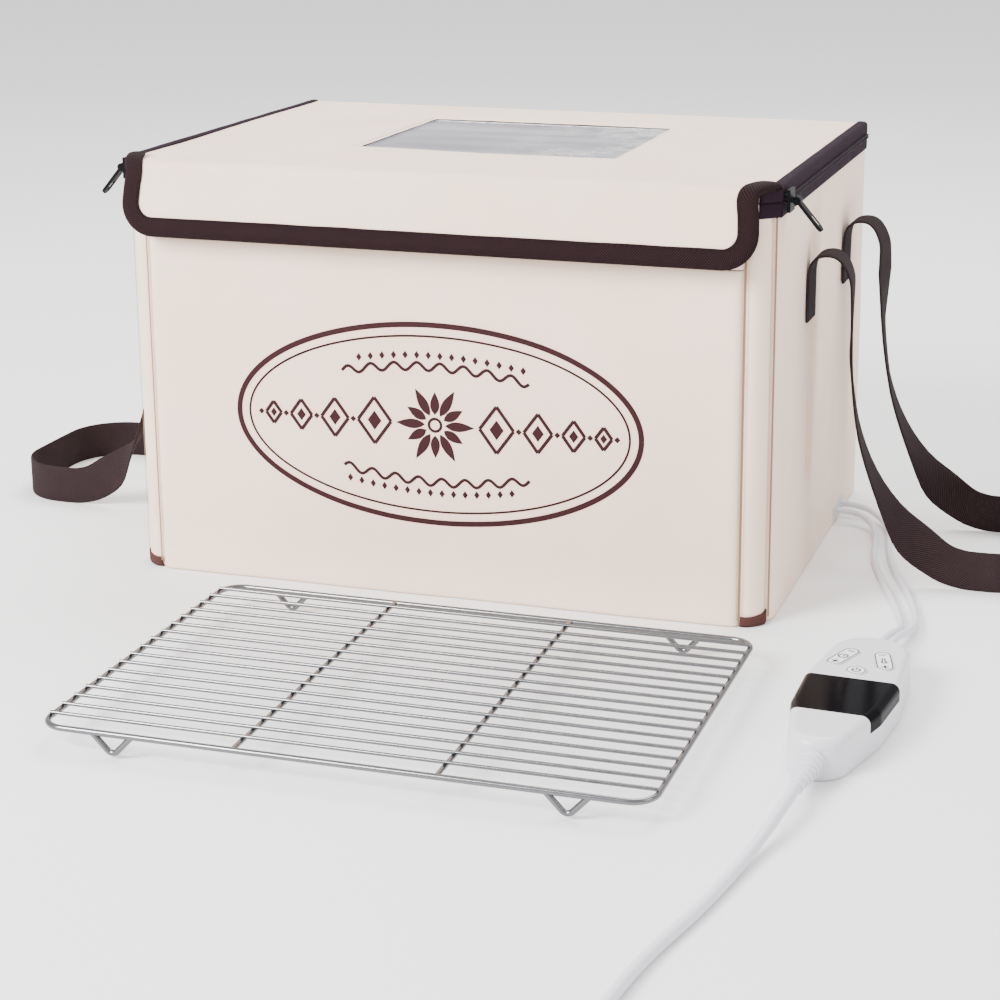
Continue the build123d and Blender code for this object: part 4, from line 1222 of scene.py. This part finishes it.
# Carry handles: webbing sewn to the walls, arching out, and a loop that rests on the table
handleLook = {
    "wide": 27.0, "thick": 1.7, "joint": 187, "twist": (258, 313),  # it turns on edge between these
    "leans": (((60, 0), (110, -9), (150, -12), (209, -6)), ((60, 0), (110, -9), (150, -6), (200, 14))),
    "riser": [
        (221.3, 178), (221.3, 200), (221.6, 216), (228.4, 223),
        (241, 222.5), (248.6, 209), (249, 196), (249, 186),
    ],
    "fall": [(249, 187.5), (249, 168), (249, 144), (257, 92), (284, 40), (312, 18), (328, 13.9)],
    "loopOut": 384.0, "loopRound": 39.0, "loopMid": 13.8,
}


def leanAt(stops, z):
    for (z0, lean0), (z1, lean1) in zip(stops, stops[1:]):
        if z < z1:
            return lean0 + (lean1 - lean0) * min(1, max(0, (z - z0) / (z1 - z0)))
    return stops[-1][1]


def makeMount(side, label):  # the two sewn strands, up the wall and over
    look = handleLook
    strands = []
    for number, y in enumerate(case["strands"]):
        line = easeLine([(x, y, z) for x, z in look["riser"]], 6)
        lean = math.radians(leanAt(look["leans"][number], look["joint"]))
        acrosses = []
        for i in range(len(line)):
            turn = lean * (i / (len(line) - 1)) ** 2
            acrosses.append(Vector((side * math.sin(turn), math.cos(turn), 0)))
        line = [Vector((side * p.x, p.y, p.z)) for p in line]
        name = f"riser{label}{number}"
        strands.append(bandMesh(name, line, acrosses, look["wide"], look["thick"], webbing))
    mount = joinPieces("handleMount" + label, strands)
    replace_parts(mount, "handle_mount_" + label.lower())
    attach(mount, "handle_mount_" + label.lower())


def makeLoop(side, label):  # down from the mount, then round on edge, resting on the table
    look = handleLook
    front, back = ([(x, y, z) for x, z in look["fall"]] for y in case["strands"])
    y0, y1, r, out = *case["strands"], look["loopRound"], look["loopOut"]
    bend = [(x, y0, look["loopMid"]) for x in (336, 344)]
    for first, cy in ((-90, y0 + r), (0, y1 - r)):
        for k in range(9):
            turn = math.radians(first + 11.25 * k)
            bend.append((out - r + r * math.cos(turn), cy + r * math.sin(turn), look["loopMid"]))
    bend += [(x, y1, look["loopMid"]) for x in (344, 336)]
    line = easeLine(front + bend + back[::-1], 6)
    acrosses = []
    for p in line:
        edge = ease(p.x, *look["twist"]) * math.pi / 2
        turn = math.radians(leanAt(look["leans"][0 if p.y < 20 else 1], p.z))
        flat = Vector((side * math.sin(turn), math.cos(turn), 0))
        acrosses.append(flat * math.cos(edge) + Vector((0, 0, 1)) * math.sin(edge))
    line = [Vector((side * p.x, p.y, p.z)) for p in line]
    loop = bandMesh("handleLoop" + label, line, acrosses, look["wide"], look["thick"], webbing)
    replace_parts(loop, "handle_loop_" + label.lower())
    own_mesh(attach(loop, "handle_loop_" + label.lower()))


for side, label in wallSides:
    makeMount(side, label)
    makeLoop(side, label)
print("handles made")


# The heating mat inside
def makeMat():
    mat = {"xs": (-184.8, 149.8), "ys": (-119.8, 119.8), "top": 8.3}

    def face(x, y):
        depth = min(x - mat["xs"][0], mat["xs"][1] - x, mat["ys"][1] - abs(y))
        quilt = 0.12 * math.cos(x / 12) * math.cos(y / 12)
        return Vector((x, y, mat["top"] - roll(depth, 0.9) + quilt * min(1, depth / 10)))

    us, vs = graded(*mat["xs"], 6, 3, 3), graded(*mat["ys"], 6, 3, 3)
    piece = clothGrid("matPad", us, vs, face, heatFilm, thick=1.1)
    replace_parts(piece, "mat_sheets")
    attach(piece, "tub")


makeMat()


# The print on the front: an oval border round a rosette, diamonds and waves
printLook = {"centreX": 0.0, "centreZ": 118.0, "halfWide": 138.0, "halfHigh": 66.0, "proud": 0.22}


def printPoint(x, z):
    p = frontFace(printLook["centreX"] + x, printLook["centreZ"] + z)
    return Vector((p.x, p.y - printLook["proud"], p.z))


def aheadAt(line, i):  # the way a flat line runs at one of its points
    a, b = line[max(i - 1, 0)], line[min(i + 1, len(line) - 1)]
    return Vector((b[0] - a[0], b[1] - a[1])).normalized()


def inkStroke(points, faces, line, widths):
    start = len(points)
    for i, (x, z) in enumerate(line):
        ahead = aheadAt(line, i)
        half = widths[i] / 2 if isinstance(widths, list) else widths / 2
        for way in (-1, 0, 1):
            points.append(printPoint(x - ahead.y * half * way, z + ahead.x * half * way))
    for i in range(len(line) - 1):
        for k in (0, 1):
            a = start + 3 * i + k
            faces.append((a, a + 1, a + 4, a + 3))


def inkLeaf(points, faces, x, z, angle, long, wide):
    line, widths = [], []
    for k in range(9):
        t = k / 8
        line.append((x + long * t * math.cos(angle), z + long * t * math.sin(angle)))
        widths.append(max(0.15, wide * math.sin(math.pi * t**0.8)))
    inkStroke(points, faces, line, widths)


def inkDiamond(points, faces, x, z, wide, high, line=0.0):
    corners = [(x - wide, z), (x, z + high), (x + wide, z), (x, z - high)]
    if not line:
        start = len(points)
        points += [printPoint(*corner) for corner in corners]
        faces.append((start, start + 1, start + 2, start + 3))
        return
    for a, b in zip(corners, corners[1:] + corners[:1]):
        inkStroke(points, faces, [a, b], line)


def makePrint():  # a double oval, a sunny rosette and bands of diamonds and waves
    look = printLook
    points, faces = [], []
    turns = [2 * math.pi * k / 180 for k in range(181)]
    for grow, wide in ((0, 3.6), (-7.5, 1.4)):
        x, z = look["halfWide"] + grow, look["halfHigh"] + grow
        inkStroke(points, faces, [(x * math.cos(turn), z * math.sin(turn)) for turn in turns], wide)
    for k in range(12):
        angle = math.pi * k / 6
        inkLeaf(points, faces, 7 * math.cos(angle), 7 * math.sin(angle), angle, 15 if k % 2 else 20, 6.4)
    ring = [(4.2 * math.cos(math.pi * k / 12), 4.2 * math.sin(math.pi * k / 12)) for k in range(25)]
    inkStroke(points, faces, ring, 1.9)
    for side in (-1, 1):
        x = 42.0
        for k in range(4):
            size = 11.5 - 2.0 * k
            inkDiamond(points, faces, side * x, 0, size, size * 1.35, 2.3)
            inkDiamond(points, faces, side * x, 0, size * 0.42, size * 0.57)
            inkDiamond(points, faces, side * (x + size + 3.4), 0, 2.1, 2.1)
            x += size + 6.8 + (9.5 - 2.0 * k)
    for way in (-1, 1):
        wave = []
        for k in range(161):
            x = -64 + 0.8 * k
            wave.append((x, way * (38.5 - 0.0016 * x * x) + 2.6 * math.sin(x * math.pi / 8)))
        inkStroke(points, faces, wave, 2.1)
        for k in range(-7, 8):
            x = k * 8.0 + 4 * way
            if abs(x) < 62:
                inkDiamond(points, faces, x, way * (46.0 - 0.0016 * x * x), 1.9, 2.7)
    faces = [face[::-1] for face in faces]
    piece = buildMesh("frontPrint", points, faces, [ink], sharp=0)
    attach(piece, "front_panel")


makePrint()
print("print made")


# Symbols on the controller's keys
unitLook = {"x": 295.0, "y": -290.0, "turn": math.radians(-3), "keyTop": 24.86}


def unitPoint(across, along, high):
    c, s = math.cos(unitLook["turn"]), math.sin(unitLook["turn"])
    return Vector((unitLook["x"] + across * c - along * s, unitLook["y"] + across * s + along * c, high))


def symbolMesh(name, strokes, centre, turn, body):
    points, faces = [], []
    c, s = math.cos(turn), math.sin(turn)
    for line, wide in strokes:
        start = len(points)
        for i, (x, y) in enumerate(line):
            ahead = aheadAt(line, i)
            for way in (-0.5, 0.5):
                u, v = x - ahead.y * wide * way, y + ahead.x * wide * way
                u, v = centre[0] + u * c - v * s, centre[1] + u * s + v * c
                points.append(unitPoint(u, v, unitLook["keyTop"]))
        for i in range(len(line) - 1):
            a = start + 2 * i
            faces.append((a, a + 2, a + 3, a + 1))
    piece = buildMesh(name, points, faces, [greyInk], sharp=0)
    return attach(piece, body)


def arcLine(x, y, radius, first, last, count=16):
    turns = [math.radians(first + (last - first) * k / count) for k in range(count + 1)]
    return [(x + radius * math.cos(t), y + radius * math.sin(t)) for t in turns]


def makeSymbols():
    rim = arcLine(0, 9.2, 4.4, 0, 180) + arcLine(0, -9.2, 4.4, 180, 360)
    rim = [(rim + rim[:2], 0.7)]
    minus = [([(-2.2, 9.4), (2.2, 9.4)], 1.2)]
    plus = [([(-2.2, -9.4), (2.2, -9.4)], 1.2), ([(0, -11.6), (0, -7.2)], 1.1)]
    clock = [(arcLine(0, 0, 2.8, 0, 360), 1.0), ([(0, 1.7), (0, 0)], 0.7), ([(0, 0), (1.4, 0)], 0.7)]
    heat = [(arcLine(0, -2.0, 1.4, 120, 420), 1.0)]
    heat += [([(x, -0.8), (x, 2.9)], 0.8) for x in (-0.8, 0.8)]
    heat.append((arcLine(0, 2.9, 0.8, 0, 180, 8), 0.8))
    power = [(arcLine(0, 0, 2.3, 125, 415), 1.0), ([(0, 0.6), (0, 3.2)], 1.0)]
    power.append((arcLine(0, 0, 5.4, 0, 365), 0.6))
    tilt = math.radians(17)
    symbolMesh("timerSymbols", rim + minus + plus + clock, (-12, 40), -tilt, "timer_rocker")
    symbolMesh("heatSymbols", rim + minus + plus + heat, (12, 40), tilt, "heat_rocker")
    symbolMesh("powerSymbol", power, (0, 21), 0, "power_key")


makeSymbols()
print("controller marked")


# Floor, light and camera
def makeStage():
    stage = {"half": 14.0, "grey": 0.88, "world": 1.42}
    mesh = bpy.data.meshes.new("tableTop")
    size, pale, dull = stage["half"], (stage["grey"],) * 3, (stage["grey"] * 0.98,) * 3
    corners = [(-size, -size, 0), (size, -size, 0), (size, size, 0), (-size, size, 0)]
    mesh.from_pydata(corners, [], [(0, 1, 2, 3)])
    table, tree, shader = newFinish("paleTable", pale, 0.85)
    tint(tree, shader, noiseOf(tree, objectPlace(tree), 3, 2), dull, pale)
    mesh.materials.append(table)
    floor = bpy.data.objects.new("tableTop", mesh)
    bpy.context.scene.collection.objects.link(floor)
    world = bpy.data.worlds.new("studio")
    world.use_nodes = True
    sky = world.node_tree.nodes["Background"]
    sky.inputs["Color"].default_value = (1, 1, 1, 1)
    sky.inputs["Strength"].default_value = stage["world"]
    bpy.context.scene.world = world
    lamps = [  # place, target, size, power
        ((-1.2, -1.9, 1.5), (0, -0.1, 0.1), 1.0, 140),
        ((1.9, -0.6, 1.2), (0.2, -0.1, 0.1), 0.9, 10),
        ((0.1, 0.9, 2.0), (0, 0, 0.15), 1.2, 45),
    ]
    for number, (at, aim, size, power) in enumerate(lamps):
        light = bpy.data.lights.new(f"softbox{number}", "AREA")
        light.size, light.energy = size, power
        lamp = bpy.data.objects.new(f"softbox{number}", light)
        lamp.location = at
        lamp.rotation_euler = (Vector(at) - Vector(aim)).to_track_quat("Z", "Y").to_euler()
        bpy.context.scene.collection.objects.link(lamp)


def makeCamera():
    look = {
        "at": (0.4914, -1.4609, 0.5016), "pitch": 75.27, "turn": 16.94,
        "lens": 80.23, "shift": (-0.0765, -0.1033),
    }
    data = bpy.data.cameras.new("view")
    data.sensor_width, data.lens = 36, look["lens"]
    data.shift_x, data.shift_y = look["shift"]
    camera = bpy.data.objects.new("view", data)
    camera.location = look["at"]
    camera.rotation_euler = (math.radians(look["pitch"]), 0, math.radians(look["turn"]))
    bpy.context.scene.collection.objects.link(camera)
    bpy.context.scene.camera = camera


makeStage()
makeCamera()
print("stage and camera set")
